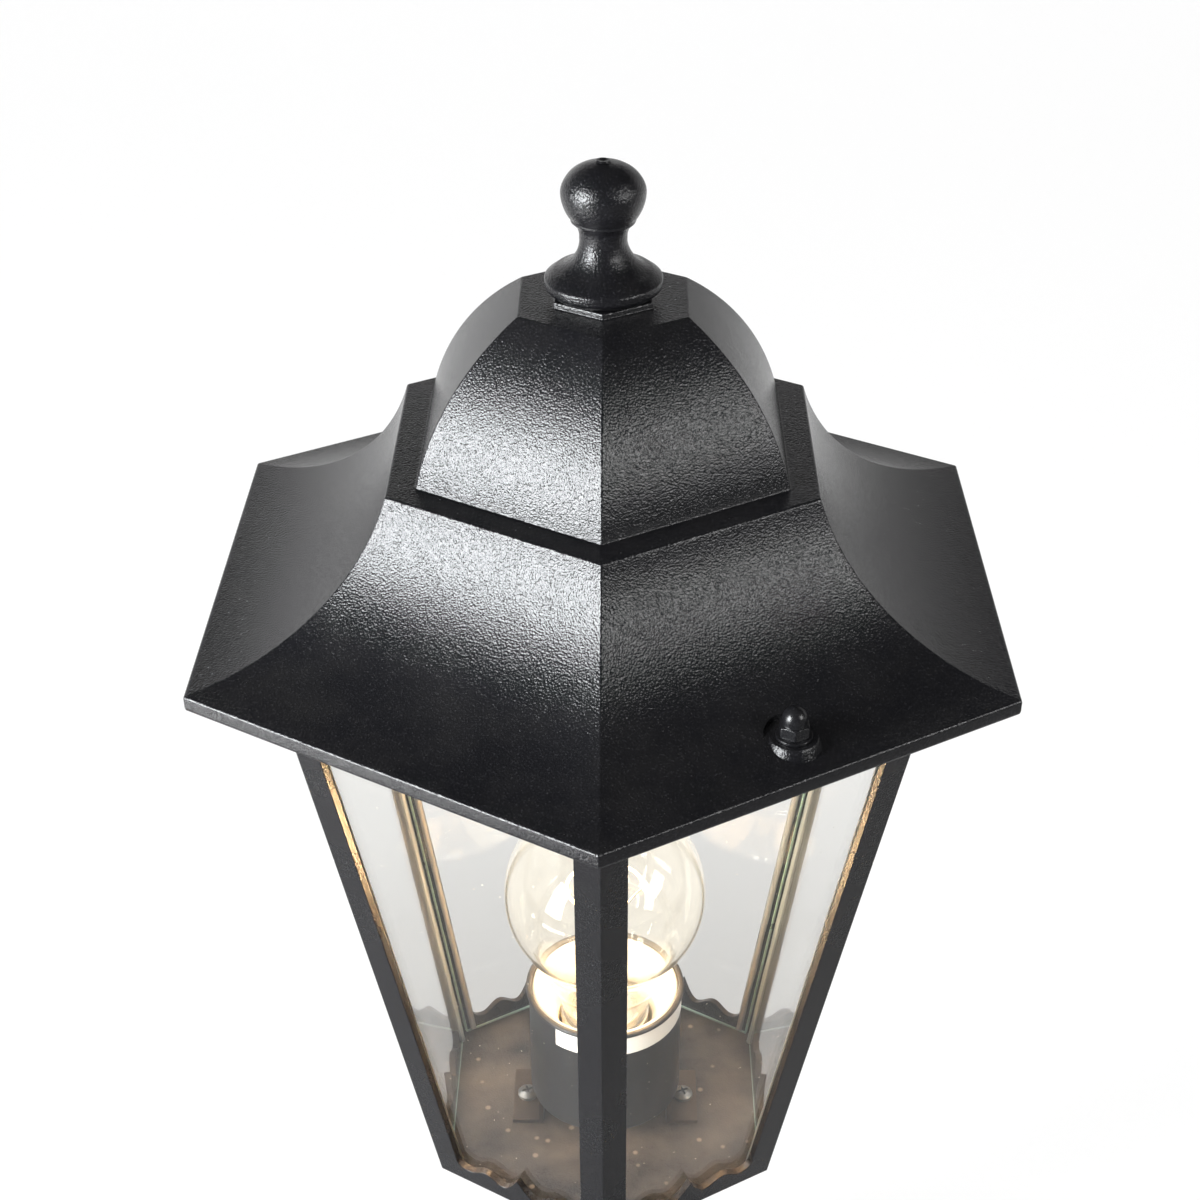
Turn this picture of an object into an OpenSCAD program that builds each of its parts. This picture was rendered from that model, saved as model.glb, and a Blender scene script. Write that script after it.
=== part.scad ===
// Pedestal lantern: a six-sided cast aluminium garden lantern on a short round pedestal.
// Millimetres, +Z up, origin at the centre of the pedestal's underside.
// One corner of the hexagon points along -Y, so the faces look along 0, 60, 120 ... degrees.

/* [Roof] */
// Corner radius of the eave
roof_r = 120; // [112:0.5:132]
// Depth of the rounded band along the eave
eave_band = 4.3; // [3.5:0.1:6]
// Width of the eave band's underside
eave_lip = 8; // [7.6:0.1:8.4]
// Wall of the roof casting
roof_wall = 2.5; // [2:0.1:3]
// Radius of the hollow curve of the skirt, seen square on to a face
skirt_arc = 56.7; // [54:0.1:64]
// Corner radius of the flat ledge at the top of the skirt
ledge_r = 62.7; // [60:0.1:66]
// Height of the ledge above the eave
ledge_h = 41.2; // [38:0.1:44]
// Corner radius of the dome's foot
dome_r = 54.2; // [51:0.1:57]
// Corner radius of the flat cap on the dome
cap_r = 24.3; // [20:0.1:27]
// Height of the cap above the eave
cap_h = 81.4; // [76:0.1:86]
// Radius of the dome's bulging curve, seen square on to a face
dome_arc = 67.6; // [64:0.1:80]
// Corner radius of the six-sided seat under the finial
finial_seat_r = 14.3; // [12:0.1:17]
// Height of the finial seat above the cap
finial_seat_h = 1.6; // [1:0.1:3]
// Length of each of the six ribs inside the roof
rib_len = 70; // [50:1:80]

/* [Finial] */
// Radius of the finial's foot disc
disc_r = 14.9; // [13:0.1:17]
// Thickness of the disc's rounded edge
disc_t = 4.8; // [3.5:0.1:6]
// Radius of the finial's waist
waist_r = 6; // [5:0.1:7]
// Height of the narrowest part of the waist above the finial's foot
waist_h = 14.2; // [12:0.1:16]
// Radius of the ball
ball_r = 10.65; // [9.5:0.05:12]
// Height of the ball's widest line above the finial's foot
ball_h = 26; // [25:0.1:29]
// Height of the ball's flatter upper half
ball_top = 7.85; // [6:0.05:10]
// Radius of the small lip under the ball
lip_r = 8.3; // [7.6:0.05:8.9]

/* [Lantern body] */
// Corner radius of the body at its upper end
body_top_r = 97.4; // [92:0.2:100]
// Corner radius of the body at its lower end
body_bottom_r = 59; // [54:0.2:64]
// Height of the body from its lower edge to its upper edge
body_h = 202; // [190:1:220]
// Wall of the posts and rails
frame_wall = 2.2; // [1.8:0.1:2.6]
// Width of a post on each of its two faces
post_w = 7.8; // [7:0.1:9]
// Height of the rail round the top
top_rail = 9; // [7:0.5:12]
// Height of the sill at its low places, measured along the face
sill_h = 5.9; // [5:0.1:8]
// Rise of the two humps on each sill
hump_h = 2.9; // [1:0.1:4]
// Rise of the point in the middle of each sill
cusp_h = 7.2; // [4:0.1:9]
// Thickness of the floor
floor_t = 2.5; // [2:0.1:3]
// Height of the floor's upper side above the lower edge
floor_rise = 2; // [1:0.1:3]
// Height of the bowl under the body
bowl_h = 26; // [22:0.5:30]
// Apothem of the bowl where it leaves the body
bowl_top_a = 45; // [42:0.2:46]
// Apothem of the bowl's lower end
bowl_end_a = 25; // [24:0.2:28]
// Radius of the bowl's bulging curve
bowl_arc = 42; // [40:1:60]
// Wall of the bowl
bowl_wall = 3; // [2.5:0.1:3.5]

/* [Glass] */
// Thickness of a pane
glass_t = 2; // [1.8:0.1:2.4]
// Gap between a pane and the frame behind which it sits
glass_gap = 0.1; // [0.05:0.05:0.3]
// Distance of a pane's side from the body's corner, along the face
pane_side = 3.7; // [3.5:0.1:4.2]
// Width of a bead of sealant
bead_w = 2.4; // [1.6:0.1:2.6]
// Thickness of a bead of sealant
bead_t = 1.2; // [0.8:0.1:1.5]

/* [Roof fixing] */
// Distance of the two studs from the axis
stud_place = 92; // [91:0.1:93]
// Diameter of the studs
stud_d = 4; // [3.8:0.1:4.2]
// Running gap round the studs in their nuts and lugs
thread_gap = 0.05; // [0.02:0.01:0.08]
// Diameter of the holes for the studs in the roof
stud_hole_d = 4.5; // [4.4:0.1:4.8]
// Radius of the raised bosses on the skirt
boss_r = 6.8; // [6:0.1:7.2]
// Height of the boss faces above the eave
boss_h = 3.8; // [3.4:0.1:4.4]
// Radius of the lugs on the body
lug_r = 5.4; // [5:0.1:5.6]
// Thickness of the lugs
lug_t = 5; // [4:0.1:6]
// Width across the flats of the cap nuts
nut_af = 7; // [6.8:0.1:7.4]
// Height of a cap nut's six-sided part
nut_hex = 3.2; // [3:0.1:3.6]
// Height of a whole cap nut
nut_h = 7.6; // [7.2:0.1:8]
// Outer diameter of the washers under the cap nuts
washer_d = 9; // [8.4:0.1:10]
// Thickness of those washers
washer_t = 0.8; // [0.6:0.1:1]

/* [Lampholder] */
// Outer radius of the sleeve
sleeve_r = 23.2; // [22.8:0.1:24]
// Height of the sleeve
sleeve_h = 42; // [41:0.5:43]
// Wall of the sleeve
sleeve_wall = 0.9; // [0.7:0.1:1]
// Radius of the rolled rim at the sleeve's mouth
rim_r = 24.1; // [24:0.1:25]
// Height of the rolled rim
rim_h = 1.8; // [1.4:0.1:2.4]
// Height of the plain band round the sleeve
band_h = 6.6; // [5:0.1:8]
// Thickness of the plain band
band_t = 0.15; // [0.1:0.05:0.2]
// Inner radius of the screw shell
shell_r = 13.75; // [13.65:0.05:14]
// Wall of the screw shell
shell_wall = 0.4; // [0.3:0.05:0.5]
// Height of the bridge that carries the lampholder
bridge_h = 9; // [8.6:0.1:10]
// Thickness of the bridge's sheet
bridge_t = 1.5; // [1.2:0.1:1.6]
// Width of the bridge
bridge_w = 22; // [20:0.5:24]

/* [Bulb] */
// Diameter of the bulb's globe
bulb_d = 60; // [55:0.5:61]
// Length of the bulb over all
bulb_len = 102.8; // [100:0.1:106]
// Radius of the threaded cap
cap_thread_r = 13.2; // [13:0.05:13.3]
// Wall of the bulb's glass
bulb_wall = 0.8; // [0.6:0.1:1]

/* [Pedestal] */
// Radius of the foot
foot_r = 80; // [75:0.5:90]
// Height of the whole pedestal casting
foot_h = 112; // [111:0.5:114]
// Thickness of the foot's flange
flange_t = 6; // [5:0.1:7]
// Radius of the hollow curve between foot and neck
sweep_arc = 44; // [43:0.5:45]
// Radius of the neck
neck_r = 17; // [16.5:0.1:18]
// Wall of the pedestal casting
foot_wall = 3.5; // [3:0.1:3.8]
// Radius of the collar at the top
collar_r = 26; // [25:0.1:28]
// Thickness of the rubber ring under the bowl
ring_seal_t = 2; // [1.5:0.1:3]
// Diameter of the circle of the fixing holes
hole_circle = 136; // [134:1:140]
// Diameter of the fixing holes
hole_d = 5.5; // [4.5:0.1:6.5]
// Number of fixing holes
hole_count = 3; // [3:1:4]
// Outer diameter of the threaded tube
tube_d = 10; // [9.8:0.1:10]
// Bore of the threaded tube
tube_bore = 8; // [7.4:0.1:8.2]

/* [Hidden] */
$fn = 96;
// Apothem of a hexagon over its corner radius
k = cos(30);
// Allowance by which a cut runs past a face
over = 1;

// Heights, from the ground up
seal_z = foot_h;
bowl_z = seal_z + ring_seal_t;
rail_z = bowl_z + bowl_h;
floor_z = rail_z + floor_rise;
top_z = rail_z + body_h;
// The roof's seat rib ends this far below the eave's upper edge
seat_drop = 1;
eave_z = top_z + seat_drop;
finial_z = eave_z + cap_h + finial_seat_h;

// Half profile of the roof, square on to a face: distance from the axis, height above the eave
eave_a = roof_r * k;
ledge_a = ledge_r * k;
dome_a = dome_r * k;
cap_a = cap_r * k;
seat_a = finial_seat_r * k;
// Where the skirt's curve runs out on the eave band
skirt_low = 0.4;
rim_round = 1.5;
// Centre of an arc of radius r through p and q; side is 1 or -1
function arc_centre(p, q, r, side) =
    let (d = q - p, l = norm(d), m = (p + q) / 2, h = sqrt(r * r - l * l / 4))
    m + side * h * [-d[1], d[0]] / l;
skirt_c = arc_centre([eave_a, skirt_low], [ledge_a, ledge_h], skirt_arc, -1);
dome_c = arc_centre([dome_a, ledge_h], [cap_a, cap_h], dome_arc, 1);
// Apothem of the dome's hollow at the underside of the ledge
dome_inner_a = dome_c[0] + sqrt(pow(dome_arc - roof_wall, 2) - pow(ledge_h - roof_wall - dome_c[1], 2));

// The body's faces lean outwards by this angle
body_top_a = body_top_r * k;
body_bottom_a = body_bottom_r * k;
lean = atan((body_top_a - body_bottom_a) / body_h);
face_len = body_h / cos(lean);
// Half the width of a face, by the distance up the face
function face_half(v) = (body_bottom_r + (body_top_r - body_bottom_r) * v / face_len) / 2;
// Apothem of the body's outside, by height
function body_a(z) = body_bottom_a + (body_top_a - body_bottom_a) * (z - rail_z) / body_h;
// Depth of a pane's two sides behind the face
pane_out = frame_wall + glass_gap;
pane_in = pane_out + glass_t;
pane_low = (floor_rise + 0.3) / cos(lean);
pane_high = face_len - 0.8;

// Sill outline: the humps and the point by distance from the face's middle
hump_place = 12;
hump_half = 6.5;
cusp_half = 5.6;
function hump(s) = abs(abs(s) - hump_place) < hump_half
    ? hump_h * pow(cos(90 * (abs(s) - hump_place) / hump_half), 2) : 0;
function cusp(s) = abs(s) < cusp_half ? cusp_h * pow(1 - abs(s) / cusp_half, 1.7) : 0;
function sill(s) = sill_h + hump(s) + cusp(s);
sill_step = 0.7;
sill_fillet = 3.4;

// Roof fixing
stud_r = stud_d / 2;
stud_dirs = [300, 120];
lug_top = eave_z - 2.2;
washer_z = eave_z + boss_h;
nut_z = washer_z + washer_t;
nut_bore_h = 5.2;
nut_r = nut_af / 2 / k;
nut_dome_r = 3.05;
spot_gap = 0.5;
// The roof stays clear of the lugs on all sides
lug_gap = 0.4;
boss_drop = 1.8;

// Roof seat rib
rib_out = body_a(top_z) - 0.4;
rib_in = rib_out - 4.4;

// Finial, its screw and washer
ball_low = 10.4;
finial_hole_r = 2.75;
finial_thread_r = 2.5;
finial_thread_h = 11;
finial_washer_r = 5;
finial_washer_t = 1;
finial_head_r = 4;
finial_head_h = 3.5;
disc_round = 1.3;
disc_lift = 0.7;
neck_arc = disc_r - waist_r - 0.3;

// Lampholder
holder_z = floor_z + bridge_h;
mouth_z = holder_z + sleeve_h;
insert_r = sleeve_r - sleeve_wall - 0.1;
insert_floor = 3;
insert_top = mouth_z - 0.7;
sleeve_hole_r = 14;
shell_z = holder_z + insert_floor + sleeve_wall + 0.1;
shell_h = 23;
shell_lift = 1.5;
cup_r = shell_r + shell_wall + 0.1;
mouth_r = 20.3;
mouth_h = 4;
contact_rise = 1.9;
contact_w = 5;
contact_t = 0.5;
band_gap = 0.2;
band_turn = 232;
band_sweep = 125;
bridge_half = bridge_w / 2;
bridge_leg = 19;
bridge_foot = 29;
bridge_screw_x = 24.5;
bridge_screw_r = 1.75;
bridge_screw_len = 6;
bridge_head_r = 3.2;
bridge_head_h = 2.2;
holder_screw_y = 8;
holder_screw_r = 1.5;
holder_screw_len = 5;
holder_head_r = 2.7;
holder_head_h = 1.8;
screw_hole_gap = 0.3;
// Cross slot of every pan-head screw
slot_w = 0.7;
// Waves of the large screw thread on the bulb and in its shell
waves = 5;
wave_pitch = 3.63;
wave_steps = 4 * waves;
shell_wave = 0.18;
cap_wave = 0.22;
// Holes in the ceramic through which the leads come up
wire_hole = [4, 3];
wire_hole_r = 2;

// Bulb
tip_z = shell_z + contact_rise;
bulb_r = bulb_d / 2;
globe_z = tip_z + bulb_len - bulb_r;
glass_z = tip_z + 25;
globe_from = -43;
tip_r = 4.6;
tip_h = 1.2;
cap_rise = 5;
cap_from = tip_z + cap_rise;
cap_wall = 0.7;
cap_lip = 4.5;
insulator_r = 8.6;
neck_foot_r = 12.4;
stem_foot_r = 10.5;
stem_waist_r = 5.4;
stem_waist_h = 9;
stem_rod_r = 3.4;
stem_rod_h = 16;
stem_drop = 14;
filament_r = 0.3;
filament_ring = 11;
filament_sweep = 250;
wire_r = 0.45;
wire_start = 1.6;
ring_rise = 2;

// Pedestal
sweep_z = 55;
sweep_x = neck_r + sweep_arc;
web_z = 40;
web_t = 4;
shoulder_r = 58;
shoulder_z = 10;
cavity_r = 57;
tube_r = tube_d / 2;
tube_low = web_z - 11;
tube_high = floor_z + 7;
tube_nut_af = 14;
tube_nut_h = 4.5;
tube_washer_r = 9.5;
tube_washer_t = 1;
tube_gap = 0.2;
hole_first = 90;
bead_r = 2.2;
// Heights of the two beads round the neck
bead_places = [sweep_z + 5, foot_h - 18];
edge_r = 1.6;
collar_h = 4;
// Bosses under the body's floor for the screws of the bridge
floor_boss_r = 3.4;
floor_boss_h = 5;

// Terminal block and earth screw under the pedestal
block_x = 24;
block_size = [18, 28, 12];
block_z = 2;
block_screw_r = 1.5;
block_head_r = 2.9;
block_head_h = 2;
block_well_h = 4;
clamp_x = 4.5;
clamp_y = [-9, 5, 9.5];
clamp_r = 1.6;
clamp_h = 5;
earth_screw_r = 2;
earth_screw_len = 5;
earth_head_r = 3.6;
earth_head_h = 2.4;
earth_ring_r = 4;
earth_ring_t = 0.8;
post_r = 3.5;
earth_post_r = 4;
earth_y = -27;
earth_z = 11;
lead_r = 1.1;
lead_x = 20;
lead_y = [5, -4.2, -9];
// Leads: round points chosen by hand, from the terminal block up through the tube
live_route = [[20, 5, 13.9], [19, 5, 17], [15, 4, 20], [9, 3, 21.5], [4, 2.2, 23.2], [1.9, 1.5, 27],
    [1.9, 1.4, 40], [1.9, 1.4, 90], [1.9, 1.4, 140], [2, 1.5, 148.6], [3.1, 2.3, 150.6], [4, 3, 152.6],
    [4, 3, 154.7]];
neutral_route = [[20, -4.2, 13.9], [19, -4, 17], [15, -3, 20], [9, -2, 21.5], [2.5, -1.8, 23.2],
    [-1.4, -1.5, 27], [-1.9, -1.4, 40], [-1.9, -1.4, 90], [-1.9, -1.4, 140], [-2, -1.5, 148.6],
    [-3.1, -2.3, 150.6], [-4, -3, 152.6], [-4, -3, 154.7]];
earth_route = [[20, -9, 13.9], [19.5, -9.6, 16.5], [15, -13, 18.5], [9.5, -17, 17], [6.4, -19.8, 12.8],
    [4.8, -22.2, 10.4], [2.87, -24.13, 10.4]];

// Six-sided solid whose section, square on to a face, is the 2D child: three bars crossing
module six_sided(reach) {
    intersection_for (turn = [0, 60, 120]) rotate([0, 0, turn]) rotate([90, 0, 0])
        linear_extrude(height = 2 * reach, center = true) children();
}

// Plain six-sided block by apothem and heights
module six_block(a, low, high) {
    translate([0, 0, low]) rotate([0, 0, 30]) cylinder(r = a / k, h = high - low, $fn = 6);
}

// Places children at a face: x along the face, y up the face, z outwards, origin at the lower edge
module on_face(i) {
    rotate([0, 0, 60 * i]) translate([body_bottom_a, 0, rail_z]) rotate([0, lean, 0])
        rotate([90, 0, 90]) children();
}

// Places children on the axis of a stud
module at_stud(dir) {
    rotate([0, 0, dir]) translate([stud_place, 0, 0]) children();
}

// Roof

module skirt_outline(half, low, high, r) {
    difference() {
        translate([-half, low]) square([2 * half, high - low]);
        for (side = [-1, 1]) translate([side * skirt_c[0], skirt_c[1]]) circle(r = r, $fn = 180);
    }
}

module dome_outline(low, high, r) {
    intersection() {
        translate(dome_c) circle(r = r, $fn = 180);
        translate([-dome_c[0], dome_c[1]]) circle(r = r, $fn = 180);
        translate([-ledge_a, low]) square([2 * ledge_a, high - low]);
    }
}

// Square corner less its quarter circle, to round the lower edge of the eave band
module edge_round(r) {
    difference() {
        translate([-r, -r]) square(2 * r);
        translate([-r, r]) circle(r = r, $fn = 48);
        translate([-2 * r, -r]) square([r, 3 * r]);
        translate([-2 * r, r]) square([3 * r, r]);
    }
}

module skirt() {
    difference() {
        six_sided(1.5 * roof_r) difference() {
            skirt_outline(eave_a, -eave_band, ledge_h, skirt_arc);
            for (side = [0, 1]) mirror([side, 0]) translate([eave_a, -eave_band]) edge_round(rim_round);
        }
        six_sided(1.4 * roof_r)
            skirt_outline(eave_a - eave_lip, -eave_band - over, ledge_h - roof_wall, skirt_arc + roof_wall);
        six_block(dome_inner_a, ledge_h - roof_wall - over, ledge_h + over);
    }
}

module dome() {
    difference() {
        union() {
            six_sided(roof_r) dome_outline(ledge_h - roof_wall, cap_h, dome_arc);
            six_block(seat_a, cap_h - over, cap_h + finial_seat_h);
        }
        six_sided(1.1 * roof_r)
            dome_outline(ledge_h - roof_wall - over, cap_h - roof_wall, dome_arc - roof_wall);
        translate([0, 0, cap_h - roof_wall - over])
            cylinder(r = finial_hole_r, h = roof_wall + finial_seat_h + 2 * over);
    }
}

// One rib on each side, which rests on the body's top rail and keeps the panes down
module seat_ribs() {
    for (turn = [0:60:300]) rotate([0, 0, turn]) intersection() {
        translate([rib_in, -rib_len / 2, -seat_drop]) cube([rib_out - rib_in, rib_len, ledge_h / 2]);
        rotate([90, 0, 0]) linear_extrude(height = 2 * rib_len, center = true)
            skirt_outline(eave_a, -eave_band, ledge_h, skirt_arc + roof_wall / 2);
    }
}

module roof_casting() {
    color([0.13, 0.13, 0.14]) translate([0, 0, eave_z]) difference() {
        union() {
            skirt();
            dome();
            seat_ribs();
            for (dir = stud_dirs) at_stud(dir)
                translate([0, 0, -boss_drop]) cylinder(r = boss_r, h = boss_h + boss_drop);
        }
        for (dir = stud_dirs) at_stud(dir) {
            translate([0, 0, boss_h]) cylinder(r = boss_r + spot_gap, h = boss_r);
            translate([0, 0, -eave_band - over]) cylinder(d = stud_hole_d, h = 2 * boss_r + eave_band);
            translate([0, 0, -2 * eave_band])
                cylinder(r = lug_r + lug_gap, h = lug_top + lug_gap - eave_z + 2 * eave_band);
        }
    }
}

// Finial, turned in one piece

module finial_outline() {
    edge_low = disc_lift;
    edge_high = disc_lift + disc_t - disc_round;
    neck_c = [waist_r + neck_arc, waist_h];
    lip_z = ball_h - ball_low * sqrt(1 - pow(lip_r / ball_r, 2)) - 0.4;
    difference() {
        union() {
            polygon(concat([[0, 0], [disc_r - 2 * disc_round, 0]],
                [for (t = [-90:15:0]) [disc_r - disc_round + disc_round * cos(t),
                    edge_low + disc_round + disc_round * sin(t)]],
                [for (t = [0:15:75]) [disc_r - disc_round + disc_round * cos(t),
                    edge_high + disc_round * sin(t)]],
                [for (t = [262:-8:182]) neck_c + neck_arc * [cos(t), sin(t)]],
                [[waist_r, waist_h + 1.2], [waist_r + 0.35, waist_h + 2.6], [waist_r + 1.1, lip_z - 1.2],
                    [lip_r, lip_z - 0.2], [lip_r, lip_z + 0.3], [0, lip_z + 0.3]]));
            polygon(concat([[0, ball_h], [0, lip_z]],
                [for (t = [-asin((ball_h - lip_z) / (ball_low + 0.6)):7:-1])
                    [ball_r * cos(t), ball_h + ball_low * sin(t)]],
                [for (t = [0:7:84]) [ball_r * cos(t), ball_h + ball_top * sin(t)]],
                [[1.9, ball_h + ball_top + 0.15], [1.6, ball_h + ball_top + 0.45],
                    [0.8, ball_h + ball_top + 0.35], [0, ball_h + ball_top + 0.1]]));
        }
        polygon([[-1, -1], [finial_thread_r, -1], [finial_thread_r, finial_thread_h],
            [0, finial_thread_h + 2], [-1, finial_thread_h + 2]]);
    }
}

module finial() {
    color([0.12, 0.12, 0.13]) translate([0, 0, finial_z]) rotate_extrude() finial_outline();
}

module finial_washer() {
    color([0.7, 0.7, 0.72]) translate([0, 0, eave_z + cap_h - roof_wall - finial_washer_t])
        difference() {
            cylinder(r = finial_washer_r, h = finial_washer_t);
            translate([0, 0, -over]) cylinder(r = finial_hole_r, h = finial_washer_t + 2 * over);
        }
}

module finial_screw() {
    head_z = eave_z + cap_h - roof_wall - finial_washer_t - finial_head_h;
    color([0.7, 0.7, 0.72]) translate([0, 0, head_z]) {
        cylinder(r = finial_head_r / k, h = finial_head_h, $fn = 6);
        cylinder(r = finial_thread_r - thread_gap, h = finial_z + finial_thread_h - over - head_z);
    }
}

// Studs, washers and cap nuts that hold the roof

module cap_nut(dir) {
    color([0.1, 0.1, 0.1]) at_stud(dir) translate([0, 0, nut_z]) difference() {
        union() {
            intersection() {
                cylinder(r = nut_r, h = nut_hex, $fn = 6);
                rotate_extrude() polygon([[0, 0], [nut_af / 2, 0], [nut_r, 0.35],
                    [nut_r, nut_hex - 0.35], [nut_af / 2, nut_hex], [0, nut_hex]]);
            }
            cylinder(r = nut_dome_r, h = nut_h - nut_dome_r);
            translate([0, 0, nut_h - nut_dome_r]) sphere(r = nut_dome_r);
        }
        translate([0, 0, -over]) cylinder(r = stud_r + thread_gap, h = nut_bore_h + over);
    }
}

module cap_nut_front() { cap_nut(stud_dirs[0]); }
module cap_nut_rear() { cap_nut(stud_dirs[1]); }

module roof_washers() {
    color([0.55, 0.55, 0.57]) for (dir = stud_dirs) at_stud(dir) translate([0, 0, washer_z]) difference() {
        cylinder(d = washer_d, h = washer_t);
        translate([0, 0, -over]) cylinder(d = stud_hole_d, h = washer_t + 2 * over);
    }
}

module roof_studs() {
    low = lug_top - lug_t;
    color([0.6, 0.6, 0.62]) for (dir = stud_dirs) at_stud(dir)
        translate([0, 0, low]) cylinder(r = stud_r, h = nut_z + nut_bore_h - 0.6 - low);
}

// Lantern body, cast in one piece: top rail, six posts, sill, floor and bowl

module window_outline() {
    low_half = face_half(sill_h) - post_w;
    high = face_len - top_rail;
    high_half = face_half(high) - post_w;
    fillet_x = low_half - sill_fillet;
    fillet_y = sill_h + sill_fillet;
    lean_step = (face_half(fillet_y) - face_half(sill_h)) / 6;
    polygon(concat(
        [for (s = [-fillet_x:sill_step:fillet_x]) [s, sill(s)]],
        [for (j = [1:6]) [fillet_x + sill_fillet * cos(15 * j - 90) + lean_step * j,
            fillet_y + sill_fillet * sin(15 * j - 90)]],
        [[high_half, high], [-high_half, high]],
        [for (j = [6:-1:1]) [-fillet_x - sill_fillet * cos(15 * j - 90) - lean_step * j,
            fillet_y + sill_fillet * sin(15 * j - 90)]]));
}

module body_outline(inset, low) {
    a_low = body_a(low) - inset;
    run = inset > 0 ? over : 0;
    a_high = body_a(top_z + run) - inset;
    polygon([[-a_low, low], [a_low, low], [a_high, top_z + run], [-a_high, top_z + run]]);
}

module bowl_outline(inset) {
    bowl_c = arc_centre([bowl_top_a, rail_z], [bowl_end_a, bowl_z], bowl_arc, -1);
    low = bowl_z - (inset > 0 ? over : 0);
    high = rail_z + (inset > 0 ? floor_rise - floor_t : over);
    for (side = [0, 1]) mirror([side, 0]) intersection() {
        translate(bowl_c) circle(r = bowl_arc - inset, $fn = 180);
        translate([0, low]) square([bowl_top_a, high - low]);
    }
}

module lug(dir) {
    rotate([0, 0, dir]) translate([0, 0, lug_top - lug_t]) {
        translate([stud_place, 0, 0]) cylinder(r = lug_r, h = lug_t);
        translate([body_a(lug_top - lug_t) - frame_wall, -lug_r, 0])
            cube([stud_place - body_a(lug_top - lug_t) + frame_wall, 2 * lug_r, lug_t]);
    }
}

module frame_casting() {
    color([0.13, 0.13, 0.14]) difference() {
        union() {
            difference() {
                six_sided(roof_r) body_outline(0, rail_z);
                six_sided(1.5 * roof_r) body_outline(frame_wall / cos(lean), floor_z);
                for (i = [0:5]) on_face(i)
                    translate([0, 0, -2 * frame_wall]) linear_extrude(height = 4 * frame_wall)
                        window_outline();
            }
            difference() {
                six_sided(roof_r) bowl_outline(0);
                six_sided(roof_r) bowl_outline(bowl_wall);
            }
            intersection() {
                for (dir = stud_dirs) lug(dir);
                difference() {
                    six_block(stud_place + lug_r + over, lug_top - lug_t, lug_top);
                    six_sided(roof_r) body_outline(frame_wall / cos(lean), floor_z);
                }
            }
            for (side = [-1, 1]) translate([side * bridge_screw_x, 0, floor_z - over - floor_boss_h])
                cylinder(r = floor_boss_r, h = floor_boss_h);
        }
        for (dir = stud_dirs) at_stud(dir)
            translate([0, 0, lug_top - lug_t - over]) cylinder(r = stud_r + thread_gap, h = lug_t + 2 * over);
        translate([0, 0, rail_z - floor_t]) cylinder(r = tube_r + tube_gap, h = 3 * floor_t);
        for (side = [-1, 1]) translate([side * bridge_screw_x, 0, floor_z - floor_boss_h])
            cylinder(r = bridge_screw_r + thread_gap, h = floor_boss_h + over);
    }
}

// Glass

module glass_pane(i) {
    color([0.8, 0.85, 0.85, 0.4]) on_face(i) translate([0, 0, -pane_in])
        linear_extrude(height = glass_t) polygon([
            [-face_half(pane_low) + pane_side, pane_low], [face_half(pane_low) - pane_side, pane_low],
            [face_half(pane_high) - pane_side, pane_high], [-face_half(pane_high) + pane_side, pane_high]]);
}

module glass_pane_1() { glass_pane(0); }
module glass_pane_2() { glass_pane(1); }
module glass_pane_3() { glass_pane(2); }
module glass_pane_4() { glass_pane(3); }
module glass_pane_5() { glass_pane(4); }
module glass_pane_6() { glass_pane(5); }

module pane_sealant() {
    low = pane_low + 1;
    high = pane_high - 6;
    near = pane_side + 1.3;
    color([0.75, 0.76, 0.74]) for (i = [0:5], side = [-1, 1]) on_face(i)
        translate([0, 0, -pane_in - bead_t]) linear_extrude(height = bead_t) polygon([
            side * [face_half(low) - near, side * low], side * [face_half(high) - near, side * high],
            side * [face_half(high) - near - bead_w, side * high],
            side * [face_half(low) - near - bead_w, side * low]]);
}

// Lampholder

module holder_sleeve() {
    rolled = rim_h / 2;
    color([0.14, 0.14, 0.14]) rotate_extrude() difference() {
        union() {
            translate([0, holder_z]) square([sleeve_r, sleeve_h - rolled]);
            translate([0, mouth_z - rim_h]) square([rim_r - rolled, rim_h]);
            translate([rim_r - rolled, mouth_z - rolled]) circle(r = rolled, $fn = 32);
        }
        translate([-over, holder_z + sleeve_wall]) square([sleeve_r - sleeve_wall + over, sleeve_h]);
        translate([-over, holder_z - over]) square([sleeve_hole_r + over, 3 * over]);
    }
}

module holder_insert() {
    color([0.93, 0.92, 0.88]) difference() {
        rotate_extrude() difference() {
            translate([0, holder_z + sleeve_wall + 0.1])
                square([insert_r, insert_top - holder_z - sleeve_wall - 0.1]);
            polygon([[-over, shell_z], [cup_r, shell_z], [cup_r, shell_z + shell_h + over],
                [mouth_r - over, insert_top - 2 * mouth_h], [mouth_r, insert_top - mouth_h],
                [mouth_r, insert_top + over], [-over, insert_top + over]]);
        }
        for (side = [-1, 1]) {
            translate([0, side * holder_screw_y, holder_z])
                cylinder(r = holder_screw_r + screw_hole_gap, h = 3 * insert_floor);
            translate([side * wire_hole[0], side * wire_hole[1], holder_z])
                cylinder(r = wire_hole_r, h = 3 * insert_floor);
        }
    }
}

// The screw shell is rolled with a few round waves
module holder_shell() {
    low = shell_z + shell_lift;
    outer = shell_r + shell_wall - shell_wave;
    color([0.82, 0.7, 0.42]) rotate_extrude() polygon(concat(
        [for (j = [0:wave_steps]) [shell_r + shell_wave * sin(90 * j), low + j * wave_pitch / 4]],
        [for (j = [wave_steps:-1:0]) [outer + shell_wave * sin(90 * j), low + j * wave_pitch / 4]]));
}

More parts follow.
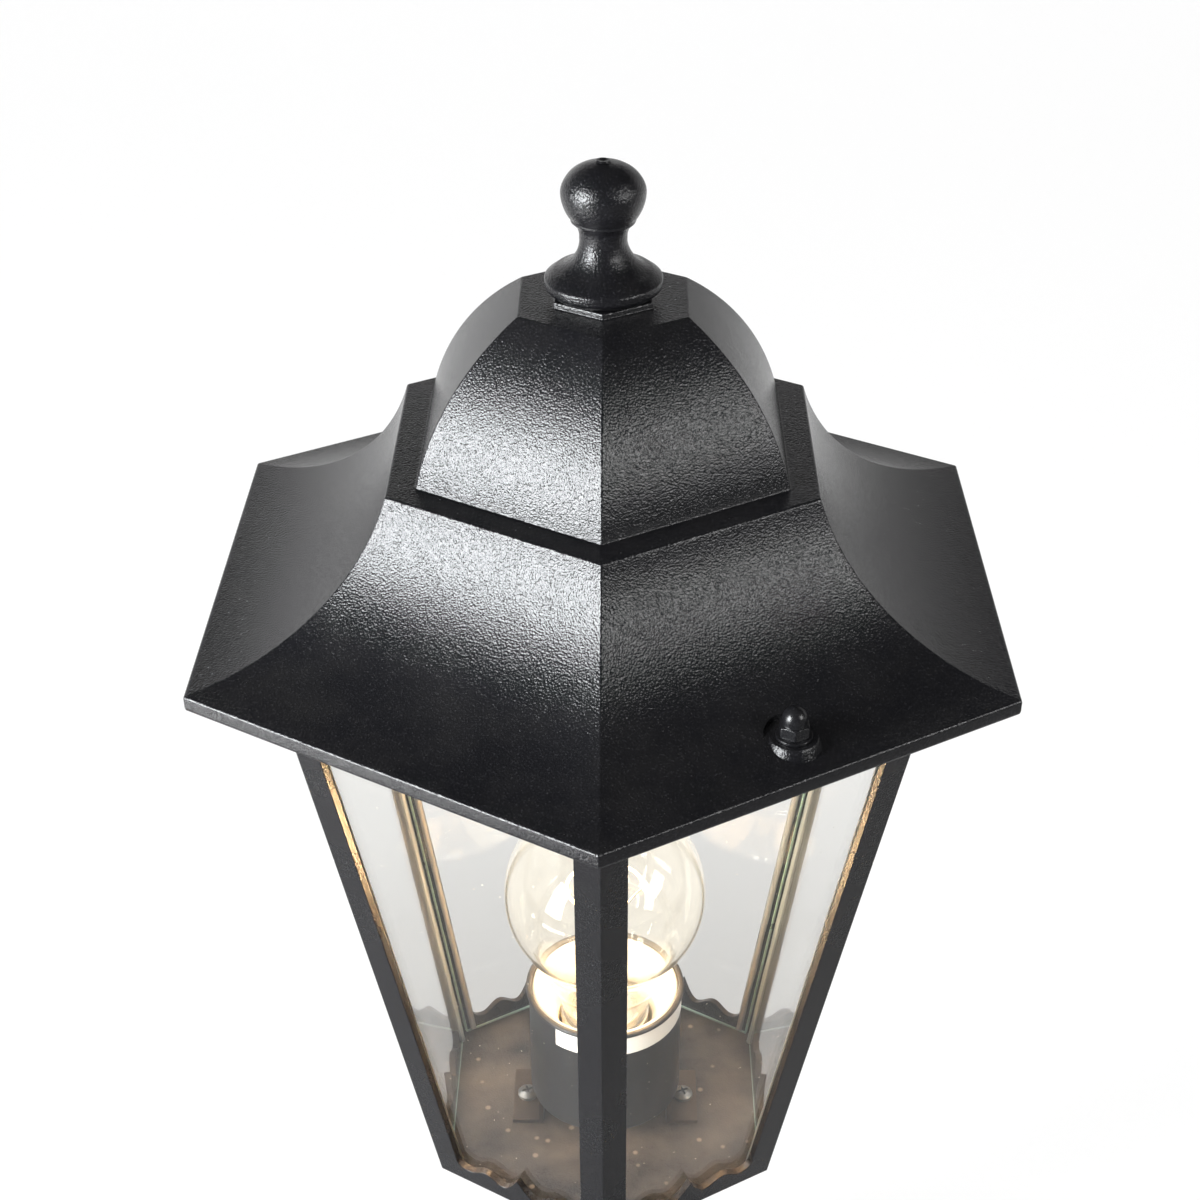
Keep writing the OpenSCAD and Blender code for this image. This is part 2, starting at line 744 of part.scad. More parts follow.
// Spring tongue of the centre contact, with its raised end under the bulb
module holder_contact() {
    low = shell_z;
    rise = contact_rise - contact_t - 0.3;
    color([0.82, 0.7, 0.42]) translate([0, contact_w / 2, low]) rotate([90, 0, 0])
        linear_extrude(height = contact_w) polygon([[-10, 0], [-5, 0], [-2.5, rise], [3, rise], [4.2, 0.1],
            [4.7, 0.4], [3.3, rise + contact_t], [-2.8, rise + contact_t], [-5.3, contact_t],
            [-10, contact_t]]);
}

// Plain band, where such holders carry their ratings
module holder_band() {
    color([0.92, 0.92, 0.9]) translate([0, 0, mouth_z - rim_h - band_gap - band_h])
        rotate([0, 0, band_turn]) rotate_extrude(angle = band_sweep)
            translate([sleeve_r, 0]) square([band_t, band_h]);
}

module holder_bridge() {
    top = holder_z;
    color([0.7, 0.71, 0.72]) difference() {
        rotate([90, 0, 0]) translate([0, 0, -bridge_half]) linear_extrude(height = bridge_w) polygon([
            [-bridge_foot, floor_z], [-bridge_leg, floor_z], [-bridge_leg, top - bridge_t],
            [bridge_leg, top - bridge_t], [bridge_leg, floor_z], [bridge_foot, floor_z],
            [bridge_foot, floor_z + bridge_t], [bridge_leg + bridge_t, floor_z + bridge_t],
            [bridge_leg + bridge_t, top], [-bridge_leg - bridge_t, top],
            [-bridge_leg - bridge_t, floor_z + bridge_t], [-bridge_foot, floor_z + bridge_t]]);
        for (side = [-1, 1]) {
            translate([side * bridge_screw_x, 0, floor_z - over])
                cylinder(r = bridge_screw_r + screw_hole_gap, h = bridge_t + 2 * over);
            translate([0, side * holder_screw_y, top - bridge_t - over])
                cylinder(r = holder_screw_r + screw_hole_gap, h = bridge_t + 2 * over);
        }
        translate([0, 0, top - bridge_t - over]) cylinder(r = tube_r + 3 * tube_gap, h = bridge_t + 2 * over);
    }
}

// Pan-head screw, head up, with its cross slot; z = 0 is under the head
module pan_screw(r, length, head_r, head_h) {
    difference() {
        union() {
            translate([0, 0, -length]) cylinder(r = r, h = length);
            rotate_extrude() polygon([[0, 0], [head_r, 0], [head_r, head_h * 0.45],
                [head_r * 0.8, head_h * 0.85], [head_r * 0.45, head_h], [0, head_h]]);
        }
        for (turn = [0, 90]) rotate([0, 0, turn])
            translate([-head_r * 0.55, -slot_w / 2, head_h * 0.4]) cube([head_r * 1.1, slot_w, head_h]);
    }
}

module bridge_screws() {
    color([0.75, 0.76, 0.78]) for (side = [-1, 1])
        translate([side * bridge_screw_x, 0, floor_z + bridge_t])
            pan_screw(bridge_screw_r, bridge_screw_len, bridge_head_r, bridge_head_h);
}

module holder_screws() {
    color([0.75, 0.76, 0.78]) for (side = [-1, 1])
        translate([0, side * holder_screw_y, holder_z - bridge_t]) mirror([0, 0, 1])
            pan_screw(holder_screw_r, holder_screw_len, holder_head_r, holder_head_h);
}

// Bulb

function globe_point(r, t) = [r * cos(t), globe_z + r * sin(t)];
module bulb_outline(inset) {
    r = bulb_r - inset;
    foot = neck_foot_r - inset;
    polygon(concat([[0, glass_z + inset], [foot, glass_z + inset], [foot + 0.7, glass_z + 4],
            [foot + 1.8, glass_z + 8], [foot + 3.7, glass_z + 13], [foot + 5.7, glass_z + 17]],
        [for (t = [globe_from:4.9:89]) globe_point(r, t)], [[0, globe_z + r]]));
}

module bulb_glass() {
    color([0.9, 0.9, 0.85, 0.35]) rotate_extrude() intersection() {
        difference() {
            bulb_outline(0);
            bulb_outline(bulb_wall);
        }
        translate([0, glass_z - over]) square([bulb_r + over, 2 * bulb_len]);
    }
}

module bulb_cap() {
    top = glass_z - 0.2;
    r = cap_thread_r;
    inner = r - cap_wall;
    low = cap_from + 0.8;
    color([0.83, 0.82, 0.78]) rotate_extrude() polygon(concat([[r - cap_lip, cap_from], [inner, cap_from]],
        [for (j = [0:wave_steps]) [r - cap_wave + cap_wave * sin(90 * j), low + j * wave_pitch / 4]],
        [[r, top], [r - 0.3, top], [inner, top - over], [inner, cap_from + 0.5],
            [r - cap_lip, cap_from + 0.5]]));
}

module bulb_insulator() {
    low = tip_z + tip_h;
    color([0.08, 0.08, 0.1]) rotate_extrude() polygon([[0, low], [tip_r + 0.4, low],
        [insulator_r - 0.4, cap_from - 0.6], [insulator_r, cap_from], [0, cap_from]]);
}

module bulb_tip() {
    color([0.8, 0.8, 0.78]) translate([0, 0, tip_z]) rotate_extrude()
        polygon([[0, 0], [tip_r - 1.6, 0.1], [tip_r - 0.3, tip_h / 2], [tip_r, tip_h], [0, tip_h]]);
}

// Glass mount inside the bulb
module bulb_stem() {
    low = glass_z + bulb_wall;
    top = globe_z - stem_drop;
    color([0.9, 0.92, 0.9, 0.5]) rotate_extrude() polygon([[0, low], [stem_foot_r, low],
        [stem_foot_r - 1.3, low + 2.2], [stem_waist_r, glass_z + stem_waist_h],
        [stem_rod_r + 0.2, glass_z + stem_rod_h], [stem_rod_r - 0.2, top - 4], [stem_rod_r - over, top],
        [0, top]]);
}

module bulb_filament() {
    ring_z = globe_z + ring_rise;
    from = [wire_start, globe_z - stem_drop + 0.4];
    to = [filament_ring, ring_z];
    color([0.95, 0.75, 0.4]) {
        translate([0, 0, ring_z]) rotate_extrude(angle = filament_sweep)
            translate([filament_ring, 0]) circle(r = filament_r, $fn = 16);
        for (turn = [0, filament_sweep]) rotate([0, 0, turn]) translate([from[0], 0, from[1]])
            rotate([0, atan2(to[0] - from[0], to[1] - from[1]), 0])
                cylinder(r = wire_r, h = norm(to - from) + wire_r);
    }
}

// Pedestal

module pedestal_outline() {
    // flange with a rounded upper edge, and the shoulder on it
    polygon([[0, 0], [foot_r, 0], [foot_r, flange_t - edge_r], [foot_r - edge_r, flange_t],
        [shoulder_r, flange_t + 1], [shoulder_r, shoulder_z], [shoulder_r - 1.5, shoulder_z + 1.4],
        [0, shoulder_z + 1.4]]);
    translate([foot_r - edge_r, flange_t - edge_r]) circle(r = edge_r, $fn = 32);
    // sweep up to the neck
    difference() {
        translate([0, over]) square([sweep_x - collar_h, sweep_z - over]);
        translate([sweep_x, sweep_z]) circle(r = sweep_arc, $fn = 180);
    }
    // neck with its bead, and the collar
    polygon([[0, sweep_z - over], [neck_r, sweep_z - over], [neck_r, foot_h - 1.5 * collar_h],
        [collar_r - 3, foot_h - collar_h], [collar_r, foot_h - collar_h], [collar_r, foot_h], [0, foot_h]]);
    for (z = bead_places) translate([neck_r + 1, z]) circle(r = bead_r, $fn = 48);
    translate([collar_r, foot_h - collar_h / 2]) circle(r = collar_h / 2, $fn = 32);
}

module pedestal_hollow() {
    inner_r = neck_r - foot_wall;
    difference() {
        translate([-over, -over]) square([cavity_r + over, sweep_z + over]);
        translate([sweep_x, sweep_z]) circle(r = sweep_arc + foot_wall, $fn = 180);
        translate([-over, web_z]) square([neck_r + over, web_t]);
    }
    translate([-over, sweep_z - over]) square([inner_r + over, foot_h]);
}

// Cast posts under the shell, from height z up into the wall
module under_post(x, y, r, z) {
    translate([x, y, z]) cylinder(r = r, h = sweep_z);
}

module pedestal_casting() {
    block_top = block_z + block_size[2];
    color([0.13, 0.13, 0.14]) difference() {
        union() {
            rotate_extrude() difference() {
                pedestal_outline();
                pedestal_hollow();
            }
            intersection() {
                union() {
                    under_post(block_x, 0, post_r, block_top);
                    under_post(0, earth_y, earth_post_r, earth_z);
                }
                rotate_extrude() intersection() {
                    pedestal_outline();
                    square([foot_r, web_z]);
                }
            }
        }
        for (i = [0:hole_count - 1]) rotate([0, 0, hole_first + 360 / hole_count * i])
            translate([hole_circle / 2, 0, -over]) cylinder(d = hole_d, h = flange_t + 3 * over);
        translate([0, 0, web_z - over]) cylinder(r = tube_r + tube_gap, h = web_t + 2 * over);
        translate([block_x, 0, block_z])
            cylinder(r = block_screw_r + thread_gap, h = block_size[2] + 4 * over);
        translate([0, earth_y, earth_z - over])
            cylinder(r = earth_screw_r + thread_gap, h = earth_screw_len + 1.5 * over);
    }
}

module bowl_seal() {
    color([0.08, 0.08, 0.08]) translate([0, 0, seal_z]) difference() {
        cylinder(r = collar_r - 2, h = ring_seal_t);
        translate([0, 0, -over]) cylinder(r = neck_r - foot_wall, h = ring_seal_t + 2 * over);
    }
}

module threaded_tube() {
    color([0.72, 0.72, 0.7]) translate([0, 0, tube_low]) difference() {
        cylinder(r = tube_r, h = tube_high - tube_low);
        translate([0, 0, -over]) cylinder(d = tube_bore, h = tube_high - tube_low + 2 * over);
    }
}

module tube_nut(z) {
    color([0.75, 0.72, 0.6]) translate([0, 0, z]) difference() {
        cylinder(r = tube_nut_af / 2 / k, h = tube_nut_h, $fn = 6);
        translate([0, 0, -over]) cylinder(r = tube_r + thread_gap, h = tube_nut_h + 2 * over);
    }
}

module tube_nut_upper() { tube_nut(floor_z + tube_washer_t); }
module tube_nut_lower() { tube_nut(web_z - tube_washer_t - tube_nut_h); }

module tube_washers() {
    color([0.75, 0.75, 0.76]) for (z = [floor_z, web_z - tube_washer_t]) translate([0, 0, z]) difference() {
        cylinder(r = tube_washer_r, h = tube_washer_t);
        translate([0, 0, -over]) cylinder(r = tube_r + tube_gap, h = tube_washer_t + 2 * over);
    }
}

module terminal_block() {
    wire_x = lead_x - block_x;
    color([0.93, 0.92, 0.88]) translate([block_x, 0, block_z]) difference() {
        translate([-block_size[0] / 2, -block_size[1] / 2, 0]) cube(block_size);
        translate([0, 0, -over]) cylinder(r = block_screw_r + screw_hole_gap, h = block_size[2] + 2 * over);
        translate([0, 0, -over]) cylinder(r = block_head_r + screw_hole_gap, h = block_well_h + over);
        // wells of the clamping screws, and the wire holes
        for (y = clamp_y) translate([clamp_x, y, -over]) cylinder(r = clamp_r, h = clamp_h + over);
        for (y = lead_y) translate([wire_x, y, block_size[2] - clamp_h])
            cylinder(r = lead_r + screw_hole_gap, h = clamp_h + over);
    }
}

module terminal_screw() {
    color([0.75, 0.76, 0.78]) translate([block_x, 0, block_z + block_well_h]) mirror([0, 0, 1])
        pan_screw(block_screw_r, block_size[2] - over, block_head_r, block_head_h);
}

module earth_screw() {
    color([0.8, 0.7, 0.4]) translate([0, earth_y, earth_z - earth_ring_t]) {
        difference() {
            cylinder(r = earth_ring_r, h = earth_ring_t);
            translate([0, 0, -over]) cylinder(r = earth_screw_r - 0.1, h = earth_ring_t + 2 * over);
        }
        mirror([0, 0, 1])
            pan_screw(earth_screw_r, earth_ring_t + earth_screw_len, earth_head_r, earth_head_h);
    }
}

// Round lead swept along a route
lead_sides = 8;
function along(route, i) = let (n = len(route) - 1)
    let (d = route[min(i + 1, n)] - route[max(i - 1, 0)]) d / norm(d);
function ring(p, d, r) =
    let (u0 = cross(d, abs(d[1]) < 0.9 ? [0, 1, 0] : [1, 0, 0]), u = u0 / norm(u0), w = cross(d, u))
    [for (j = [0:lead_sides - 1]) let (t = 360 * j / lead_sides) p + r * (cos(t) * u + sin(t) * w)];
module swept(route, r) {
    n = len(route);
    m = lead_sides;
    polyhedron(
        points = [for (i = [0:n - 1]) each ring(route[i], along(route, i), r)],
        faces = concat([[for (j = [0:m - 1]) j]],
            [for (i = [0:n - 2], j = [0:m - 1]) let (a = i * m + j, b = i * m + (j + 1) % m)
                each [[a, a + m, b], [b, a + m, b + m]]],
            [[for (j = [m - 1:-1:0]) (n - 1) * m + j]]));
}

module lead_live() { color([0.35, 0.2, 0.1]) swept(live_route, lead_r); }
module lead_neutral() { color([0.15, 0.25, 0.6]) swept(neutral_route, lead_r); }
module lead_earth() { color([0.3, 0.55, 0.2]) swept(earth_route, lead_r); }

roof_casting();
finial();
finial_screw();
finial_washer();
cap_nut_front();
cap_nut_rear();
roof_washers();
frame_casting();
glass_pane_1();
glass_pane_2();
glass_pane_3();
glass_pane_4();
glass_pane_5();
glass_pane_6();
pane_sealant();
roof_studs();
holder_sleeve();
holder_insert();
holder_shell();
holder_contact();
holder_band();
holder_bridge();
bridge_screws();
holder_screws();
bulb_glass();
bulb_cap();
bulb_insulator();
bulb_tip();
bulb_stem();
bulb_filament();
pedestal_casting();
bowl_seal();
threaded_tube();
tube_nut_upper();
tube_nut_lower();
tube_washers();
terminal_block();
terminal_screw();
earth_screw();
lead_live();
lead_neutral();
lead_earth();
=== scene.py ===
# %% [markdown]
# # Pedestal lantern
# A six-sided garden lantern of cast aluminium, powder-coated black, with six panes of clear
# glass and a lit bulb, on a short round pedestal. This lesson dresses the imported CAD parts:
# the large castings get soft edges, the glass gets real thickness and ground edges, and
# the small metal parts get their threads and finishes.
#
# Everything stands in the frame of the CAD model, in metres, so no part has to be fitted.
# The sizes below are written in millimetres, as they are in the CAD source, and one
# factor turns them into metres. The main heights follow from the pedestal's height.

# %% Load the frame
import math
import bmesh
import bpy
import numpy as np
from mathutils import Matrix, Vector


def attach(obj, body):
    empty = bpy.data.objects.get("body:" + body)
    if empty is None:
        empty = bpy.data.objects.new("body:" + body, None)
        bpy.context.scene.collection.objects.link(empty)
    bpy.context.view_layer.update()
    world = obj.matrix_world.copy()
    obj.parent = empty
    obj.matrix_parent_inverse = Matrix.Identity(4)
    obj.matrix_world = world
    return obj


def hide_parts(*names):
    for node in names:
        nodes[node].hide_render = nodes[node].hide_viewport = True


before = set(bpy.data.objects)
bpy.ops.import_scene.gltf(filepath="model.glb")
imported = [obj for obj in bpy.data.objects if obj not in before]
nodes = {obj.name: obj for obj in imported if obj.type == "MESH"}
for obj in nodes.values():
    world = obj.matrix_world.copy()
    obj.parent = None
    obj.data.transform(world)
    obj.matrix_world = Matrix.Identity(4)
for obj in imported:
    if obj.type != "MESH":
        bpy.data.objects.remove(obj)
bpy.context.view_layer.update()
MM = 0.001
FOOT_H = 112.0
RAIL_Z, FLOOR_Z, EAVE_Z = (FOOT_H + rise for rise in (28, 30, 231))
HOLDER_Z, MOUTH_Z, TIP_Z, GLASS_Z, GLOBE_Z = (FLOOR_Z + rise for rise in (9, 51, 14.9, 39.9, 87.7))
print(len(nodes), "nodes; eave at", EAVE_Z, "mm, middle of the globe at", GLOBE_Z, "mm")


def show(thing):
    bpy.context.scene.collection.objects.link(thing)
    return thing


def polar(radius, degrees, z=0.0):
    return (radius * math.cos(math.radians(degrees)), radius * math.sin(math.radians(degrees)), z)


# %% [markdown]
# ## Camera
# The lantern was photographed from above and in front, about 0.75 m away, with a lens of
# about 60 mm. The view looks down by 33 degrees, so that the roof fills the picture and
# the lower end of the body leaves it. The camera is given by where it stands and by three
# small angles, which were measured from the roof's straight edges.

# %% Camera
CAMERA_AT = Vector((0.0052, -0.46727, 0.63466))
LOOK_DOWN, ROLL, YAW = (math.radians(angle) for angle in (32.765, 0.197, 0.781))
LENS, SENSOR = 60.64, 36


def aim_camera():
    forward = Vector((-math.sin(YAW) * math.cos(LOOK_DOWN), math.cos(YAW) * math.cos(LOOK_DOWN),
                      -math.sin(LOOK_DOWN)))
    right = Vector((math.cos(YAW), math.sin(YAW), 0))
    up = right.cross(forward)
    across = math.cos(ROLL) * right - math.sin(ROLL) * up
    upward = math.sin(ROLL) * right + math.cos(ROLL) * up
    turn = Matrix((across, upward, -forward)).transposed()
    data = bpy.data.cameras.new("camera")
    data.lens, data.sensor_width, data.clip_start = LENS, SENSOR, 0.01
    camera = bpy.data.objects.new("camera", data)
    camera.matrix_world = Matrix.Translation(CAMERA_AT) @ turn.to_4x4()
    bpy.context.scene.camera = show(camera)
    return camera


camera = aim_camera()
print("camera at", tuple(round(c, 4) for c in camera.location))

# %% [markdown]
# ## Mesh helpers
# Nearly every part of the lantern is either six-sided or round. A six-sided part is a loft:
# a hexagon with rounded corners is repeated at many heights and the rings are joined. A
# round part is a lathe: a half profile is spun about an axis. Both are written once here.
# A Weighted Normal modifier keeps large flat faces flat beside their narrow rounded edges.

# %% Mesh helpers
def new_piece(name, verts, faces, materials, face_slots=None, sharp=40):
    """A mesh object from points in millimetres, smooth except across sharp edges."""
    mesh = bpy.data.meshes.new(name)
    mesh.from_pydata([Vector(v) * MM for v in verts], [], faces)
    for material in materials:
        mesh.materials.append(material)
    if face_slots is not None:
        mesh.polygons.foreach_set("material_index", face_slots)
    piece = show(bpy.data.objects.new(name, mesh))
    smooth(piece, sharp)
    return piece


def smooth(piece, sharp=40):
    mesh = piece.data
    mesh.polygons.foreach_set("use_smooth", [True] * len(mesh.polygons))
    mesh.set_sharp_from_angle(angle=math.radians(sharp))
    mesh.update()


def weigh_normals(piece):
    modifier = piece.modifiers.new("flat faces stay flat", "WEIGHTED_NORMAL")
    modifier.mode, modifier.weight, modifier.keep_sharp = "FACE_AREA", 50, True


def outward(piece):
    """Turns a closed mesh the right way round, after its double points are merged."""
    bm = bmesh.new()
    bm.from_mesh(piece.data)
    bmesh.ops.remove_doubles(bm, verts=bm.verts, dist=1e-7)
    bmesh.ops.recalc_face_normals(bm, faces=bm.faces)
    if bm.calc_volume(signed=True) < 0:
        bmesh.ops.reverse_faces(bm, faces=bm.faces)
    bm.to_mesh(piece.data)
    bm.free()


def ring_faces(rings, count, loop=False):
    """Faces between rings of count points; a loop joins the last ring to the first."""
    faces = []
    for i in range(rings if loop else rings - 1):
        a, b = i * count, (i + 1) % rings * count
        faces += [(a + j, a + (j + 1) % count, b + (j + 1) % count, b + j) for j in range(count)]
    if not loop:
        faces += [tuple(range(count))[::-1], tuple(range((rings - 1) * count, rings * count))]
    return faces


def hex_ring(apothem, edge, steps=3):
    """Hexagon with its corners rounded to the radius edge; at edge = apothem it is a circle."""
    edge = min(edge, apothem)
    reach = (apothem - edge) / math.cos(math.radians(30))
    points = []
    for corner in range(6):
        middle = math.radians(60 * corner + 30)
        for step in range(steps + 1):
            t = math.radians(60 * corner + 60 * step / steps)
            points.append((reach * math.cos(middle) + edge * math.cos(t),
                           reach * math.sin(middle) + edge * math.sin(t)))
    return points


def hex_loft(name, profile, materials, at=(0, 0, 0), steps=3, turn=0, sharp=40, loop=False):
    """profile is a list of (apothem, height, corner radius); loop is for a part with a bore."""
    verts, rotate = [], Matrix.Rotation(math.radians(turn), 3, "Z")
    for apothem, height, edge in profile:
        verts += [rotate @ Vector((x, y, height)) + Vector(at) for x, y in hex_ring(apothem, edge, steps)]
    faces = ring_faces(len(profile), 6 * (steps + 1), loop=loop)
    piece = new_piece(name, verts, faces, materials, sharp=sharp)
    outward(piece)
    smooth(piece, sharp)
    return piece


def lathe(name, profile, materials, at=(0, 0, 0), count=64, loop=False, sharp=40):
    """profile is a list of (radius, height); loop closes it on itself, as for a tube."""
    verts = []
    for radius, height in profile:
        radius = max(radius, 1e-4)
        verts += [(at[0] + radius * math.cos(math.tau * j / count),
                   at[1] + radius * math.sin(math.tau * j / count), at[2] + height) for j in range(count)]
    piece = new_piece(name, verts, ring_faces(len(profile), count, loop=loop), materials, sharp=sharp)
    outward(piece)
    smooth(piece, sharp)
    return piece


def arc(cx, cz, radius, start, end, steps):
    """Points of an arc, by angles in degrees."""
    return [(cx + radius * math.cos(math.radians(start + (end - start) * i / steps)),
             cz + radius * math.sin(math.radians(start + (end - start) * i / steps)))
            for i in range(steps + 1)]


def through(knots, detail):
    """Points of one smooth curve through the knots, without the last knot."""
    line = []
    for i in range(len(knots) - 1):
        p0, p1, p2, p3 = (knots[max(0, min(len(knots) - 1, i + d))] for d in (-1, 0, 1, 2))
        for s in range(detail):
            t = s / detail
            line.append(0.5 * (2 * p1 + (p2 - p0) * t + (2 * p0 - 5 * p1 + 4 * p2 - p3) * t ** 2
                               + (3 * p1 - p0 - 3 * p2 + p3) * t ** 3))
    return line


def soften(points, steps=3):
    """Rounds the marked corners of a profile. Each point is (x, z) or (x, z, radius)."""
    out = []
    for i, p in enumerate(points):
        if len(p) < 3 or i in (0, len(points) - 1):
            out.append((p[0], p[1]))
            continue
        here, before, after = (Vector(q[:2]) for q in (p, points[i - 1], points[i + 1]))
        a, b = (before - here).normalized(), (after - here).normalized()
        half = a.angle(b) / 2
        reach = min(p[2] / math.tan(half), 0.49 * (before - here).length, 0.49 * (after - here).length)
        radius = reach * math.tan(half)
        centre = here + (a + b).normalized() * radius / math.sin(half)
        start, end = here + a * reach - centre, here + b * reach - centre
        swing = start.angle_signed(end)
        for s in range(steps + 1):
            turned = start.copy()
            turned.rotate(Matrix.Rotation(-swing * s / steps, 2))
            out.append(tuple(centre + turned))
    return out


def bake(piece):
    """Applies a piece's modifiers and removes them."""
    bpy.context.view_layer.update()
    result = bpy.data.meshes.new_from_object(piece.evaluated_get(bpy.context.evaluated_depsgraph_get()))
    piece.modifiers.clear()
    piece.data = result
    return piece


def combine(piece, tools, operation):
    """Exact boolean of a piece with some tools, which are used up."""
    for tool in tools:
        modifier = piece.modifiers.new("boolean", "BOOLEAN")
        modifier.solver, modifier.operation, modifier.object = "EXACT", operation, tool
    bake(piece)
    for tool in tools:
        bpy.data.objects.remove(tool)
    return piece


def joined(name, parts):
    """Makes several objects one."""
    bpy.ops.object.select_all(action="DESELECT")
    for part in parts:
        part.select_set(True)
    bpy.context.view_layer.objects.active = parts[0]
    bpy.ops.object.join()
    parts[0].name = parts[0].data.name = name
    return parts[0]


def hand_in(piece, body, slot, *replaced):
    """Hangs a finished piece on its body's empty and hides the CAD nodes that it stands for."""
    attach(piece, body)
    if replaced:
        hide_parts(*replaced)
    print(f"{piece.name}: {len(piece.data.polygons)} faces on {body}")
    return piece


# %% [markdown]
# ## Shared effects for the finishes
# Powder coat is a plastic powder that melts on the hot casting. The fine black kind dries
# with a sandy grain, about half a millimetre across. Single grains are a little smoother and
# get a paler base colour, which is a painted glint. The grain is a group of nodes with named
# inputs, built once, so that the castings, the knob and the nuts can each use it at their own
# scale.
#
# Noise in Object coordinates is used throughout, because it has no seams and stays in
# place on the part. Three more groups give dust on surfaces that face up, cast unevenness,
# and the cloudy wear of handled metal.

# %% Effect groups
def effect_group(name, inputs, outputs):
    group = bpy.data.node_groups.new(name, "ShaderNodeTree")
    for label, value in inputs.items():
        group.interface.new_socket(label, in_out="INPUT", socket_type="NodeSocketFloat").default_value = value
    for label in outputs:
        group.interface.new_socket(label, in_out="OUTPUT", socket_type="NodeSocketFloat")
    return group, group.nodes.new("NodeGroupInput").outputs, group.nodes.new("NodeGroupOutput").inputs


def node(tree, kind, inputs=None, **settings):
    """Adds a node; inputs may be plain values or the sockets of other nodes."""
    made = tree.nodes.new(kind)
    for key, value in settings.items():
        setattr(made, key, value)
    for key, value in (inputs or {}).items():
        if isinstance(value, bpy.types.NodeSocket):
            tree.links.new(value, made.inputs[key])
        else:
            made.inputs[key].default_value = value
    return made


def maths(tree, operation, a, b=0.0, clamp=False):
    return node(tree, "ShaderNodeMath", {0: a, 1: b}, operation=operation, use_clamp=clamp).outputs[0]


def plus(tree, a, b):
    return maths(tree, "ADD", a, b)


def minus(tree, a, b):
    return maths(tree, "SUBTRACT", a, b)


def times(tree, a, b, clamp=False):
    return maths(tree, "MULTIPLY", a, b, clamp)


def span(tree, value, low, high, to_low=0.0, to_high=1.0):
    """Maps low..high to to_low..to_high and holds it inside."""
    return node(tree, "ShaderNodeMapRange", {"Value": value, "From Min": low, "From Max": high,
                "To Min": to_low, "To Max": to_high}).outputs["Result"]


def noise(tree, scale, detail=2.0, rough=0.5, where=None):
    where = where or node(tree, "ShaderNodeTexCoord").outputs["Object"]
    return node(tree, "ShaderNodeTexNoise", {"Vector": where, "Scale": scale, "Detail": detail,
                "Roughness": rough}).outputs["Fac"]


def cells(tree, scale):
    where = node(tree, "ShaderNodeTexCoord").outputs["Object"]
    return node(tree, "ShaderNodeTexVoronoi", {"Vector": where, "Scale": scale}).outputs["Distance"]


def build_grain():
    """Sandy powder coat: height for the bump, a mask of single grains for a painted glint, slow change of tone."""
    group, given, out = effect_group("sandy grain", {"Scale": 2500.0}, ["Height", "Glint", "Tone"])
    fine = noise(group, given["Scale"], 1.5, 0.55)
    pebbles = cells(group, times(group, given["Scale"], 0.9))
    height = plus(group, times(group, fine, 0.8),
                   times(group, minus(group, 1.0, pebbles), 0.5))
    group.links.new(height, out["Height"])
    group.links.new(span(group, fine, 0.56, 0.74), out["Glint"])
    group.links.new(noise(group, 22.0, 3.0), out["Tone"])
    return group


def build_dust():
    """Thin dust on surfaces that face up, patchy and flecked."""
    group, given, out = effect_group("dust", {"Amount": 0.3, "Scale": 60.0}, ["Mask"])
    up = node(group, "ShaderNodeSeparateXYZ", {0: node(group, "ShaderNodeNewGeometry").outputs["Normal"]})
    facing = span(group, up.outputs["Z"], 0.35, 0.95)
    patchy = span(group, noise(group, given["Scale"], 5.0, 0.65), 0.42, 0.68)
    flecks = span(group, cells(group, times(group, given["Scale"], 9.0)), 0.16, 0.08)
    both = plus(group, patchy, times(group, flecks, 1.6))
    group.links.new(times(group, times(group, both, facing), given["Amount"], True),
                    out["Mask"])
    return group


def build_cast():
    """Unevenness of a sand casting: slow waves."""
    group, given, out = effect_group("cast surface", {"Scale": 90.0}, ["Height"])
    group.links.new(noise(group, given["Scale"], 2.0, 0.5), out["Height"])
    return group


def build_handled():
    """Cloudy patches and fine scratches of handled metal, as a factor around one."""
    group, given, out = effect_group("handled metal", {"Scale": 120.0, "Depth": 0.5}, ["Rough", "Shade"])
    cloud = noise(group, given["Scale"], 4.0, 0.6)
    where = node(group, "ShaderNodeTexCoord").outputs["Object"]
    stretched = node(group, "ShaderNodeMapping", {"Vector": where, "Scale": (1.0, 1.0, 14.0)}).outputs[0]
    lines = noise(group, times(group, given["Scale"], 4.0), 2.0, 0.5, stretched)
    mixed = minus(group, plus(group, cloud, lines), 1.0)
    group.links.new(plus(group, 1.0, times(group, mixed, given["Depth"])), out["Rough"])
    group.links.new(span(group, cloud, 0.3, 0.7), out["Shade"])
    return group


GRAIN, DUST, CAST, HANDLED = build_grain(), build_dust(), build_cast(), build_handled()
print("effect groups:", [g.name for g in (GRAIN, DUST, CAST, HANDLED)])

# %% [markdown]
# ## Finishes of the metal and the small parts
# A finish starts from the Principled shader with its plain numbers on its own sockets.
# What changes over the surface, such as colour, roughness and bump, is linked to it from
# the effect groups. The black coat is glossy for a powder, so it has a strong, broad
# highlight that fades over the curved roof. Its grains sparkle by their bump and smoother
# surface, and a paler base colour on single grains adds a painted glint. On the body, faces
# that look up, such as the floor inside, carry a brown tint that is partly thin dust and
# partly painted warm lamp light, and the plain steel there has turned brown.

# %% Finishes
COAT_DEEP, COAT_PALE = (0.0052, 0.0052, 0.0062), (0.0066, 0.0066, 0.0078)
COAT_PAINTED_GLINT, FLOOR_DUST_AND_LAMP_GLOW = (0.04, 0.04, 0.044), (0.30, 0.22, 0.155)
GRAIN_SCALE = 2050.0


